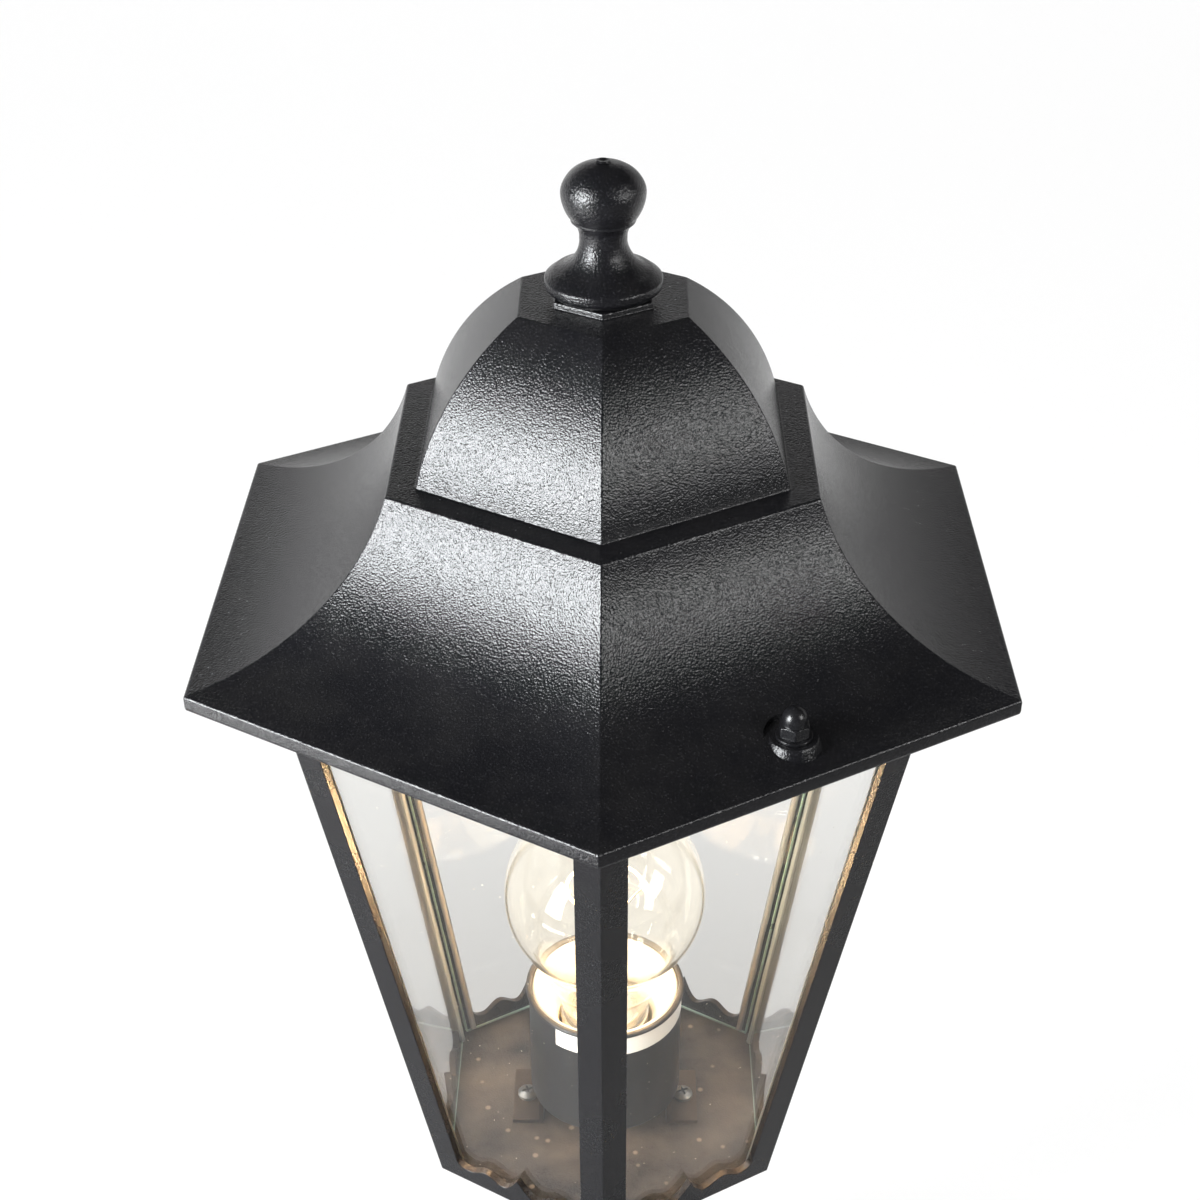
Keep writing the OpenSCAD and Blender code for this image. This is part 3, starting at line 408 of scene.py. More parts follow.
def start(name, colour, rough, metallic=0.0, **plain):
    material = bpy.data.materials.new(name)
    material.use_nodes = True
    tree = material.node_tree
    shader = tree.nodes["Principled BSDF"]
    shader.inputs["Base Color"].default_value = (*colour, 1)
    shader.inputs["Roughness"].default_value = rough
    shader.inputs["Metallic"].default_value = metallic
    for key, value in plain.items():
        shader.inputs[key.replace("_", " ")].default_value = value
    material.diffuse_color = (*colour, 1)
    return material, tree, shader


def use(tree, group, **inputs):
    made = tree.nodes.new("ShaderNodeGroup")
    made.node_tree = group
    for key, value in inputs.items():
        made.inputs[key].default_value = value
    return made.outputs


def blend_colours(tree, factor, a, b):
    made = node(tree, "ShaderNodeMix", data_type="RGBA")
    for socket, value in ((made.inputs[0], factor), (made.inputs[6], a), (made.inputs[7], b)):
        if isinstance(value, bpy.types.NodeSocket):
            tree.links.new(value, socket)
        else:
            socket.default_value = value if isinstance(value, float) else (*value, 1)
    return made.outputs[2]


def bump(tree, shader, height, distance):
    made = node(tree, "ShaderNodeBump", {"Height": height, "Distance": distance, "Strength": 1.0})
    tree.links.new(made.outputs[0], shader.inputs["Normal"])


def black_coat(name, scale, depth, rough, dust=0.06, cast_depth=0.0,
               dust_tone=(0.075, 0.07, 0.062), dust_scale=60.0):
    material, tree, shader = start(name, (0.006, 0.006, 0.007), rough, IOR=1.5)
    grain, dusty = use(tree, GRAIN, Scale=scale), use(tree, DUST, Amount=dust, Scale=dust_scale)
    cast = use(tree, CAST)
    toned = blend_colours(tree, span(tree, grain["Tone"], 0.3, 0.7), COAT_DEEP, COAT_PALE)
    # Single grains get a paler base colour: a painted glint.
    painted_glint = blend_colours(tree, times(tree, grain["Glint"], 0.35), toned, COAT_PAINTED_GLINT)
    # Faces that look up take the dust tone; on the body that brown tone is partly painted warm lamp light.
    tree.links.new(blend_colours(tree, dusty["Mask"], painted_glint, dust_tone), shader.inputs["Base Color"])
    smoother = times(tree, grain["Glint"], -0.12)
    slow = span(tree, grain["Tone"], 0.3, 0.7, rough - 0.015, rough + 0.015)
    tree.links.new(plus(tree, plus(tree, slow, smoother),
                         times(tree, dusty["Mask"], 0.3)), shader.inputs["Roughness"])
    height = plus(tree, grain["Height"], times(tree, cast["Height"], cast_depth / depth))
    bump(tree, shader, height, depth * MM)
    return material


def metal(name, colour, rough, scale=120.0):
    material, tree, shader = start(name, colour, rough, 1.0)
    wear = use(tree, HANDLED, Scale=scale, Depth=0.5)
    dull = tuple(c * 0.75 for c in colour)
    tree.links.new(blend_colours(tree, wear["Shade"], dull, colour), shader.inputs["Base Color"])
    tree.links.new(times(tree, wear["Rough"], rough, True), shader.inputs["Roughness"])
    bump(tree, shader, wear["Shade"], 0.02 * MM)
    return material


def moulded(name, colour, rough, scale=300.0, spread=0.12, depth=0.015, **plain):
    """Plastic, rubber or glazed ceramic: slight clouding and a fine skin."""
    material, tree, shader = start(name, colour, rough, 0.0, **plain)
    cloud, skin = noise(tree, scale / 8, 3.0), noise(tree, scale * 4, 2.0)
    dull = tuple(c * (1 - spread) for c in colour)
    tree.links.new(blend_colours(tree, span(tree, cloud, 0.35, 0.65), dull, colour), shader.inputs["Base Color"])
    tree.links.new(span(tree, cloud, 0.3, 0.7, rough * 0.85, min(1.0, rough * 1.15)), shader.inputs["Roughness"])
    bump(tree, shader, skin, depth * MM)
    return material


coat = black_coat("black_powder_coat", GRAIN_SCALE, 0.15, 0.24)
# The body's brown tint on faces that look up is partly dust and partly painted warm lamp light.
body_coat = black_coat("black_coat_on_body", GRAIN_SCALE, 0.13, 0.27, 0.5, dust_tone=FLOOR_DUST_AND_LAMP_GLOW, dust_scale=16.0)
knob_coat = black_coat("black_coat_on_knob", GRAIN_SCALE, 0.17, 0.24, cast_depth=0.12)
nut_coat = black_coat("black_coat_on_nut", 3200.0, 0.03, 0.28)
zinc = metal("zinc_plated_steel", (0.62, 0.63, 0.65), 0.34)
brass = metal("brass", (0.78, 0.58, 0.27), 0.3)
nickel = metal("nickel_plated_cap", (0.72, 0.70, 0.65), 0.24)
tinned = metal("solder", (0.66, 0.66, 0.67), 0.42, 400.0)
browned = metal("browned_steel", (0.16, 0.12, 0.09), 0.42)
dull_zinc = metal("dull_zinc", (0.30, 0.29, 0.27), 0.42)
ceramic = moulded("glazed_ceramic", (0.86, 0.84, 0.78), 0.18, spread=0.06, Coat_Weight=0.3)
holder_black = moulded("black_holder_sleeve", (0.018, 0.018, 0.019), 0.36, 400.0, 0.3, 0.03)
band_white = moulded("plain_pale_band", (0.80, 0.79, 0.75), 0.45, 500.0, 0.08)
vitrite = moulded("black_glass_insulator", (0.012, 0.010, 0.016), 0.12, 200.0, 0.3)
rubber = moulded("black_rubber", (0.022, 0.022, 0.023), 0.72, 500.0, 0.25, 0.04)
nylon = moulded("pale_nylon_block", (0.78, 0.76, 0.68), 0.42, 260.0, 0.08)
print("finishes so far:", len(bpy.data.materials))

# %% [markdown]
# ## Glass
# The panes are clear float glass, 2 mm thick, almost without tint; only their ground edges
# look green. Real thickness is modelled, so light bends in and out of the pane
# as it should. Clear glass would cast a black shadow in a path tracer, so shadow rays pass
# through a Transparent shader, which Light Path picks inside the material itself.

# %% Glass finishes
def clear_glass(name, tint, rough=0.0, wave=0.0, smear=0.0, glow=0.0):
    """Clear glass; wave is the depth of its slow unevenness in millimetres."""
    material, tree, shader = start(name, tint, rough, 0.0, Transmission_Weight=1.0, IOR=1.5)
    if smear:
        smears = span(tree, noise(tree, 30.0, 4.0, 0.6), 0.5, 0.75, rough, rough + smear)
        tree.links.new(smears, shader.inputs["Roughness"])
    if wave:
        bump(tree, shader, noise(tree, 9.0, 1.0), wave * MM)
    if glow:
        shader.inputs["Emission Color"].default_value = (1.0, 0.84, 0.62, 1)
        shader.inputs["Emission Strength"].default_value = glow
    path = node(tree, "ShaderNodeLightPath")
    open_ = node(tree, "ShaderNodeBsdfTransparent", {"Color": (*tint, 1)})
    mixed = node(tree, "ShaderNodeMixShader", {0: path.outputs["Is Shadow Ray"], 1: shader.outputs[0],
                 2: open_.outputs[0]})
    tree.links.new(mixed.outputs[0], tree.nodes["Material Output"].inputs["Surface"])
    return material


pane_glass = clear_glass("window_glass", (0.970, 0.969, 0.956), wave=0.25, smear=0.03)
pane_edge = moulded("ground_glass_edge", (0.42, 0.60, 0.50), 0.32, 700.0, 0.25, 0.04,
                    Transmission_Weight=0.55, IOR=1.5)
lamp_glass = clear_glass("lamp_glass", (1.0, 0.99, 0.955), glow=0.07)
stem_glass = clear_glass("stem_glass", (0.96, 0.97, 0.94), rough=0.05)
silicone = moulded("clear_silicone", (0.40, 0.40, 0.38), 0.45, 260.0, 0.18, 0.06,
                   Transmission_Weight=0.75, IOR=1.4)
glowing, _, glow_shader = start("hot_filament", (0.2, 0.1, 0.05), 0.6)
glow_shader.inputs["Emission Color"].default_value = (1.0, 0.66, 0.30, 1)
glow_shader.inputs["Emission Strength"].default_value = 60.0
print("finishes:", len(bpy.data.materials))

# %% [markdown]
# ## Roof
# The roof is one casting: a hollow skirt that sweeps out to a narrow rounded eave, a flat
# ledge, and a six-sided dome with a flat cap. Seen square on to a face, its section is a
# few arcs and straight lines, the same on all six sides. So it is a loft of rounded
# hexagons along that section, outside and inside in one closed skin. The hips keep an edge
# radius of about half a millimetre, as a coated casting has.
#
# The two raised seats for the cap nuts, the spot faces cut round them and the holes are
# added with exact booleans, because they cross the curved skirt. The six ribs inside are a
# separate piece of the roof.

# %% Roof
EAVE_A, LEDGE_A, DOME_A, CAP_A, SEAT_A = (r * math.cos(math.radians(30)) for r in (120, 62.7, 54.2, 24.3, 14.3))
LEDGE_H, CAP_H, SEAT_H, WALL = 41.2, 81.4, 1.6, 2.5
BAND_LOW, BAND_TOP, LIP = -4.3, 0.4, 8.0
SKIRT_ARC, DOME_ARC = 56.7, 67.6
HIP = 0.55
STUD_PLACE, STUD_TURNS = 92.0, (300, 120)
BOSS_H, STUD_HOLE_R, SCREW_HOLE_R = 3.8, 2.25, 2.75


def at_stud(turn, z):
    return polar(STUD_PLACE, turn, z)


def plug(name, radius, low, high, at=(0, 0, 0), count=48):
    """Plain round bar for a boolean."""
    return lathe(name, [(0.01, low), (radius, low), (radius, high), (0.01, high)], [coat], at, count)


def arc_centre(p, q, radius, side):
    p, q = Vector(p), Vector(q)
    way, middle = q - p, (p + q) / 2
    off = math.sqrt(radius ** 2 - way.length_squared / 4)
    return middle + side * off * Vector((-way.y, way.x)).normalized()


SKIRT_C = arc_centre((EAVE_A, BAND_TOP), (LEDGE_A, LEDGE_H), SKIRT_ARC, -1)
DOME_C = arc_centre((DOME_A, LEDGE_H), (CAP_A, CAP_H), DOME_ARC, 1)


def skirt_arc_points(radius, start_z, end_z, steps):
    first, last = (math.asin((SKIRT_C.y - z) / radius) for z in (start_z, end_z))
    return [(SKIRT_C.x - radius * math.cos(t), SKIRT_C.y - radius * math.sin(t))
            for t in np.linspace(first, last, steps)]


def dome_arc_points(radius, start_z, end_z, steps):
    first, last = (math.asin((z - DOME_C.y) / radius) for z in (start_z, end_z))
    return [(DOME_C.x + radius * math.cos(t), DOME_C.y + radius * math.sin(t))
            for t in np.linspace(first, last, steps)]


def roof_section():
    inner = EAVE_A - LIP
    inner_low = SKIRT_C.y - math.sqrt((SKIRT_ARC + WALL) ** 2 - (SKIRT_C.x - inner) ** 2)
    dome_out = dome_arc_points(DOME_ARC, CAP_H, LEDGE_H, 34)
    skirt_out = skirt_arc_points(SKIRT_ARC, LEDGE_H, BAND_TOP, 44)
    outside = ([(0.01, CAP_H + SEAT_H), (SEAT_A, CAP_H + SEAT_H, 0.5), (SEAT_A, CAP_H, 0.3),
                (*dome_out[0], 0.9)] + dome_out[1:-1] + [(*dome_out[-1], 0.5), (*skirt_out[0], 0.8)]
               + skirt_out[1:-1] + [(*skirt_out[-1], 0.7), (EAVE_A, BAND_LOW, 1.4), (inner, BAND_LOW, 0.5),
                                    (inner, inner_low, 0.3)])
    inside = (skirt_arc_points(SKIRT_ARC + WALL, inner_low + 0.5, LEDGE_H - WALL, 20)
              + dome_arc_points(DOME_ARC - WALL, LEDGE_H - WALL, CAP_H - WALL, 16) + [(0.01, CAP_H - WALL)])
    return soften(outside + inside)


def roof_piece():
    section = [(a, z, HIP) for a, z in roof_section()]
    roof = hex_loft("roof_shell", section, [coat], at=(0, 0, EAVE_Z), steps=4)
    bosses, spots, holes = [], [], []
    for turn in STUD_TURNS:
        at = at_stud(turn, EAVE_Z)
        outline = [(0.01, -1.8), (8.1, -1.8), (6.2, 3.4), (5.8, BOSS_H), (0.01, BOSS_H)]
        bosses.append(lathe("boss", outline, [coat], at, 48))
        spots.append(plug("spot", 7.3, BOSS_H, 9.0, at))
        holes += [plug("hole", STUD_HOLE_R, -9, 12, at, 24), plug("lug pocket", 5.8, -9.5, -1.8, at)]
    holes.append(plug("finial hole", SCREW_HOLE_R, CAP_H - 6, CAP_H + 6, (0, 0, EAVE_Z), 32))
    combine(roof, bosses, "UNION")
    combine(roof, spots + holes, "DIFFERENCE")
    smooth(roof, 32)
    weigh_normals(roof)
    return roof


RIB_OUT, RIB_THICK, RIB_LEN = 83.95, 4.4, 70.0


def seat_ribs():
    """The six ribs that rest on the body, let into the wall by half its thickness."""
    verts, faces = [], []
    for side in range(6):
        turn = Matrix.Rotation(math.radians(60 * side), 3, "Z")
        section = [(RIB_OUT - RIB_THICK, -1.0), (RIB_OUT, -1.0)]
        for a in (RIB_OUT, RIB_OUT - RIB_THICK):
            high = SKIRT_C.y - math.sqrt((SKIRT_ARC + WALL / 2) ** 2 - (SKIRT_C.x - a) ** 2)
            section.append((a, high))
        first = len(verts)
        for along in (-RIB_LEN / 2, RIB_LEN / 2):
            verts += [turn @ Vector((a, along, z + EAVE_Z)) for a, z in section]
        box = ((3, 2, 1, 0), (4, 5, 6, 7), (0, 1, 5, 4), (1, 2, 6, 5), (2, 3, 7, 6), (3, 0, 4, 7))
        faces += [tuple(first + i for i in face) for face in box]
    ribs = new_piece("seat_ribs", verts, faces, [coat])
    outward(ribs)
    edge = ribs.modifiers.new("soft edges", "BEVEL")
    edge.width, edge.segments = 0.5 * MM, 2
    return ribs


hand_in(roof_piece(), "roof", "black_casting", "roof_casting")
hand_in(seat_ribs(), "roof", "black_casting")

# %% [markdown]
# ## Finial
# The knob on top is turned and then coated: a disc with a rounded edge, a hollow neck, a
# small lip and a slightly flattened ball with a nub left by the lathe's centre. A lathe of
# a fine outline gives all of it. Then each point is moved a little by slow noise, less
# than a tenth of a millimetre, because a cast and coated ball never has a perfect shine.

# %% Finial
from mathutils import noise as still_noise

FINIAL_Z = EAVE_Z + CAP_H + SEAT_H


def roughen(piece, size, depth, seed, keep=None):
    """Moves points along their normals by slow noise; size and depth in millimetres."""
    mesh = piece.data
    normals = [v.normal.copy() for v in mesh.vertices]
    for vertex, normal in zip(mesh.vertices, normals):
        if keep is None or keep(vertex.co / MM):
            at = vertex.co / (size * MM) + Vector((seed, 0, 0))
            vertex.co += normal * (still_noise.noise(at) - 0.5) * depth * MM
    mesh.update()


def finial_section():
    ball_z, ball_r, low_r, high_r = 26.0, 10.6, 10.4, 7.8
    lip_z = ball_z - low_r * math.sqrt(1 - (8.3 / ball_r) ** 2) - 0.4
    foot = [(0.01, 0), (12.3, 0), (13.6, 0.7, 0.5), (14.9, 1.9, 1.1), (14.9, 4.0, 0.9), (13.9, 4.75, 0.5)]
    neck = arc(14.6, 14.2, 8.6, 256, 184, 14) + [(6.05, 15.6), (6.5, 17.2), (7.3, lip_z - 1.1),
                                                (8.2, lip_z - 0.3, 0.5), (8.2, lip_z + 0.35, 0.3)]
    ball = []
    for i in range(26):
        t = math.radians(-50 + 134 * i / 25)
        ball.append((ball_r * math.cos(t), ball_z + (low_r if t < 0 else high_r) * math.sin(t)))
    ball = [p for p in ball if p[1] > lip_z + 0.4]
    nub = [(1.95, ball_z + high_r + 0.05), (1.7, ball_z + high_r + 0.42), (1.2, ball_z + high_r + 0.46),
           (0.7, ball_z + high_r + 0.22), (0.01, ball_z + high_r + 0.12)]
    return soften(foot + neck + ball + nub)


finial = lathe("finial_turned", finial_section(), [knob_coat], (0, 0, FINIAL_Z), 96, sharp=50)
roughen(finial, 5.0, 0.14, 3.0, lambda p: p.z > FINIAL_Z + 5)
hand_in(finial, "roof", "black_casting", "finial")

# %% [markdown]
# ## Cap nuts, washers and studs
# Two studs stand up from lugs on the body and come through the roof. A cap nut with a
# washer holds the roof on each. The six-sided part of a nut is chamfered, so that its
# corners run into a circle: a loft of hexagons does that when its top ring has a corner
# radius as large as its half width. The screw thread is a rule, a wave that climbs one
# pitch in each turn, so Geometry Nodes make it for the studs and later for the tube, the
# bulb's cap and the screw shell.

# %% Thread made by Geometry Nodes
def new_tree(name, floats, ints=(), shape=False):
    """Geometry tree with named inputs: a shape if wanted, numbers and a material."""
    tree = bpy.data.node_groups.new(name, "GeometryNodeTree")
    labels = [("Geometry", "Geometry")] * shape + [(label, "Float") for label in floats]
    labels += [(label, "Int") for label in ints] + [("Material", "Material")]
    for label, kind in labels:
        tree.interface.new_socket(label, in_out="INPUT", socket_type="NodeSocket" + kind)
    tree.interface.new_socket("Geometry", in_out="OUTPUT", socket_type="NodeSocketGeometry")
    return tree, tree.nodes.new("NodeGroupInput").outputs


def hand_out(tree, given, shape):
    """Ends a tree: real geometry in the material that was given."""
    real = node(tree, "GeometryNodeRealizeInstances", {"Geometry": shape.outputs[0]})
    painted = node(tree, "GeometryNodeSetMaterial", {"Geometry": real.outputs[0],
                                                     "Material": given["Material"]})
    tree.links.new(painted.outputs[0], tree.nodes.new("NodeGroupOutput").inputs[0])
    return tree


def placed_by(tree, x=0.0, y=0.0, z=0.0):
    return node(tree, "ShaderNodeCombineXYZ", {"X": x, "Y": y, "Z": z}).outputs[0]


def position(tree, axis):
    where = node(tree, "GeometryNodeInputPosition").outputs[0]
    return node(tree, "ShaderNodeSeparateXYZ", {0: where}).outputs[axis]


def build_thread_tree():
    """A closed threaded skin round +Z: a grid whose one side runs along the wall's outline
    and whose other side runs round the axis. The outline goes up outside and down inside."""
    tree, given = new_tree("threaded wall", ("Radius", "Inner Radius", "Low", "High", "Pitch",
                                             "Depth", "Inner Depth"), ("Around", "Along"))
    columns = plus(tree, times(tree, given["Along"], 20.0), 1.0)
    grid = node(tree, "GeometryNodeMeshGrid", {"Size X": 1.0, "Size Y": 1.0, "Vertices X": columns,
                "Vertices Y": given["Around"]})
    u, v = (plus(tree, position(tree, axis), 0.5) for axis in ("X", "Y"))
    rise = minus(tree, span(tree, u, 0.0, 0.45), span(tree, u, 0.5, 0.95))
    inward = minus(tree, span(tree, u, 0.45, 0.5), span(tree, u, 0.95, 1.0))
    height = times(tree, rise, minus(tree, given["High"], given["Low"]))
    turn = times(tree, v, math.tau)
    climb = times(tree, maths(tree, "DIVIDE", height, given["Pitch"]), math.tau)
    wave = times(tree, minus(tree, maths(tree, "SINE",
                 minus(tree, climb, turn)), 1.0), 0.5)
    run_out = times(tree, span(tree, rise, 0.0, 0.08), span(tree, rise, 1.0, 0.92))
    wave = times(tree, wave, run_out)
    outer = plus(tree, given["Radius"], times(tree, wave, given["Depth"]))
    inner = plus(tree, given["Inner Radius"], times(tree, wave, given["Inner Depth"]))
    radius = plus(tree, times(tree, outer, minus(tree, 1.0, inward)),
                   times(tree, inner, inward))
    where = placed_by(tree, times(tree, radius, maths(tree, "COSINE", turn)),
                      times(tree, radius, maths(tree, "SINE", turn)), plus(tree, given["Low"], height))
    moved = node(tree, "GeometryNodeSetPosition", {"Geometry": grid.outputs[0], "Position": where})
    welded = node(tree, "GeometryNodeMergeByDistance", {"Geometry": moved.outputs[0], "Distance": 1e-6})
    return hand_out(tree, given, welded)


def run_tree(piece, tree, **inputs):
    """Runs a tree on a piece and keeps the result as a plain mesh. Each input is set by its
    socket's identifier."""
    modifier = piece.modifiers.new(piece.name, "NODES")
    modifier.node_group = tree
    for item in tree.interface.items_tree:
        if item.in_out == "INPUT" and item.name.replace(" ", "_") in inputs:
            modifier[item.identifier] = inputs[item.name.replace(" ", "_")]
    return bake(piece)


def grown(name, tree, sharp=50, place=(0, 0, 0), **inputs):
    """What a tree makes of an empty mesh."""
    piece = run_tree(new_piece(name, [], [], []), tree, **inputs)
    piece.data.transform(Matrix.Translation(Vector(place) * MM))
    outward(piece)
    smooth(piece, sharp)
    return piece


THREAD = build_thread_tree()


def threaded(name, radius, inner, low, high, pitch, depth, material, place=(0, 0, 0), around=33, along=8,
             inner_depth=0.0):
    return grown(name, THREAD, place=place, Radius=radius * MM, Inner_Radius=inner * MM, Low=low * MM,
                 High=high * MM, Pitch=pitch * MM, Depth=depth * MM, Inner_Depth=inner_depth * MM,
                 Around=around, Along=along, Material=material)


# %% Nuts, washers and studs
WASHER_T, STUD_R = 0.8, 2.0
WASHER_Z, NUT_Z = EAVE_Z + BOSS_H, EAVE_Z + 4.6
NUT_SECTION = [(0.3, 0.0, 0.3), (2.4, 0.0, 2.4), (3.45, 0.0, 3.45), (3.5, 0.3, 0.5), (3.5, 2.9, 0.5),
               (3.42, 3.22, 3.42), (3.1, 3.3, 3.1), (3.04, 3.4, 3.04)]


def cap_nut(name, turn):
    """Chamfered hexagon below, dome above; the dome's rings are circles of the same loft."""
    at = at_stud(turn, NUT_Z)
    top = [(r, z, r) for r, z in [(3.04, 4.4)] + arc(0, 4.55, 3.04, 4, 88, 9)]
    nut = hex_loft(name, NUT_SECTION + top, [nut_coat], at, steps=6, turn=turn * 0.3 + 30, sharp=38)
    weigh_normals(nut)
    return nut


def round_washer(name, inner, outer, thick, material, at, edge=0.15):
    section = [(inner, 0), (outer, 0, edge), (outer, thick, edge), (inner, thick, edge), (inner, 0)]
    return lathe(name, soften(section)[:-1], [material], at, 64, loop=True)


hand_in(cap_nut("cap_nut_front_dressed", 300), "nut_front", "black_nut", "cap_nut_front")
hand_in(cap_nut("cap_nut_rear_dressed", 120), "nut_rear", "black_nut", "cap_nut_rear")
washers = joined("nut_washers", [round_washer("washer", STUD_HOLE_R, 4.5, WASHER_T, nut_coat, at_stud(t, WASHER_Z))
                                 for t in STUD_TURNS])
hand_in(washers, "roof", "steel", "roof_washers")
studs = joined("threaded_studs", [
    threaded("stud", STUD_R, 0.05, NUT_Z - 11.8, NUT_Z + 4.6, 0.7, 0.28, zinc, at_stud(t, 0), 25, 12)
    for t in STUD_TURNS])
hand_in(studs, "lantern", "steel", "roof_studs")

# %% [markdown]
# ## Lantern body and pedestal
# The body is one casting too: six posts, a top rail, a sill with two humps and a point on
# each side, a floor and a bowl. Its shape in the CAD model is right, so it is kept, but a
# casting has no knife edges. A copy of the CAD mesh is merged, its flat areas are made
# single faces again, all but the ring of the rim, and a Bevel modifier rounds each sharp edge. The pedestal is round,
# so it is lathed afresh with finer steps, its mouldings softened.

# %% Softened copy of a CAD part
def softened(cad_name, name, material, width, segments=2, angle=26, rim_z=math.inf):
    """A copy of a CAD node with its sharp edges rounded by width, in millimetres."""
    piece = show(bpy.data.objects.new(name, nodes[cad_name].data.copy()))
    bm = bmesh.new()
    bm.from_mesh(piece.data)
    bmesh.ops.remove_doubles(bm, verts=bm.verts, dist=2e-6)
    # A flat ring merged into one face would be filled right across its hole, so edges that
    # lie in the plane of a rim are left as they are.
    inner = [edge for edge in bm.edges if max(v.co.z for v in edge.verts) < (rim_z - 0.01) * MM]
    bmesh.ops.dissolve_limit(bm, angle_limit=math.radians(0.4), verts=bm.verts, edges=inner)
    bm.to_mesh(piece.data)
    bm.free()
    piece.data.materials.clear()
    piece.data.materials.append(material)
    smooth(piece, 34)
    edge = piece.modifiers.new("soft edges", "BEVEL")
    edge.width, edge.segments, edge.limit_method = width * MM, segments, "ANGLE"
    edge.angle_limit, edge.harden_normals, edge.miter_outer = math.radians(angle), False, "MITER_ARC"
    edge.use_clamp_overlap = True
    weigh_normals(piece)
    return piece


hand_in(softened("frame_casting", "body_casting", body_coat, 0.45, rim_z=EAVE_Z - 1), "lantern",
        "black_casting", "frame_casting")

# %% Pedestal
SWEEP_Z, SWEEP_ARC, NECK_R, FOOT_WALL = 55.0, 44.0, 17.0, 3.5
FIXING_R, BLOCK_AT, EARTH_AT = 68, (24, 0, 0), (0, -27, 0)


def pedestal_section():
    sweep_x = NECK_R + SWEEP_ARC
    out_a = math.degrees(math.asin((SWEEP_Z - 11.4) / SWEEP_ARC))
    in_arc = SWEEP_ARC + FOOT_WALL
    in_low, in_high = SWEEP_Z - math.sqrt(in_arc ** 2 - (sweep_x - 57) ** 2), 40.0
    a0, a1 = (math.degrees(math.asin((SWEEP_Z - z) / in_arc)) for z in (in_low, in_high))
    outside = [(80, 0, 0.6), (80, 6, 1.5), (58, 7, 1.0), (58, 10, 1.0), (56.5, 11.4, 0.6)]
    outside += arc(sweep_x, SWEEP_Z, SWEEP_ARC, 180 + out_a, 180, 24)
    for bead_z in (SWEEP_Z + 5, FOOT_H - 18):
        outside += [(NECK_R, bead_z - 2.4)] + arc(18, bead_z, 2.2, -62, 62, 8) + [(NECK_R, bead_z + 2.4)]
    outside += [(NECK_R, FOOT_H - 6, 1.0), (23, FOOT_H - 4, 0.6)] + arc(26, FOOT_H - 2, 2.0, -80, 88, 8)
    outside += [(13.5, FOOT_H, 0.4), (13.5, 44, 0.4), (5.2, 44, 0.3), (5.2, 40, 0.3)]
    inside = arc(sweep_x, SWEEP_Z, in_arc, 180 + a1, 180 + a0, 16) + [(57, 0, 0.6)]
    return soften(outside + inside + [(80, 0)])[:-1]


def pedestal_piece():
    foot = lathe("pedestal_shell", pedestal_section(), [coat], count=144, loop=True, sharp=34)
    posts = [plug("post", 3.5, 14, 30, BLOCK_AT, 32), plug("post", 4.0, 11, 27, EARTH_AT, 32)]
    combine(foot, posts, "UNION")
    fixing = [(0.01, -2), (3.6, -2), (2.75, 0.6), (2.75, 5.6), (3.6, 7.4), (0.01, 9)]
    holes = [lathe("hole", fixing, [coat], polar(FIXING_R, t), 32) for t in (90, 210, 330)]
    holes += [plug("hole", 1.55, 12, 18, BLOCK_AT, 24), plug("hole", 2.05, 9, 16.5, EARTH_AT, 24)]
    combine(foot, holes, "DIFFERENCE")
    smooth(foot, 32)
    weigh_normals(foot)
    return foot


hand_in(pedestal_piece(), "lantern", "black_casting", "pedestal_casting")

# %% [markdown]
# ## Panes, their ground edges and the sealant
# Six panes stand behind the posts, on the floor and under the roof's ribs. Each is a
# tapered plate whose edges were ground, so its edge faces have a second finish: pale
# green and satin. Beads of clear silicone hold the panes' long sides from inside. A bead is
# pressed in by hand, so its width and height wander along its length.

# %% Panes
BODY_TOP_R, BODY_LOW_R, BODY_H = 97.4, 59.0, 202.0
COS30 = math.cos(math.radians(30))
LEAN = math.atan((BODY_TOP_R - BODY_LOW_R) * COS30 / BODY_H)
FACE_LEN = BODY_H / math.cos(LEAN)
PANE_OUT, PANE_T, PANE_SIDE = 2.3, 2.0, 3.7
PANE_LOW, PANE_HIGH = 2.3 / math.cos(LEAN), FACE_LEN - 0.8


def face_half(v):
    return (BODY_LOW_R + (BODY_TOP_R - BODY_LOW_R) * v / FACE_LEN) / 2


def on_face(side, s, v, w):
    """Point at s along a face of the body, v up it, w out from it."""
    turn = Matrix.Rotation(math.radians(60 * side), 3, "Z")
    a = BODY_LOW_R * COS30 + v * math.sin(LEAN) + w * math.cos(LEAN)
    return turn @ Vector((a, s, RAIL_Z + v * math.cos(LEAN) - w * math.sin(LEAN)))


def pane_corners(side, w, low, high, near):
    """Corners of a pane's outline at depth w, held in by near at its long sides."""
    return [on_face(side, way * (face_half(v) - near), v, w)
            for way, v in ((-1, low), (1, low), (1, high), (-1, high))]


def pane(side):
    """Plate with a small ground chamfer all round; its edge faces take the second finish."""
    verts, grind = [], 0.35
    for w, back in ((-PANE_OUT, grind), (-PANE_OUT - grind, 0), (-PANE_OUT - PANE_T + grind, 0),
                    (-PANE_OUT - PANE_T, grind)):
        verts += pane_corners(side, w, PANE_LOW + back, PANE_HIGH - back, PANE_SIDE + back)
    slots = [1] * 12 + [0, 0]
    piece = new_piece(f"pane_{side + 1}", verts, ring_faces(4, 4), [pane_glass, pane_edge], slots, 20)
    outward(piece)
    smooth(piece, 20)
    return piece


for side in range(6):
    hand_in(pane(side), "lantern", "window_glass", f"glass_pane_{side + 1}")


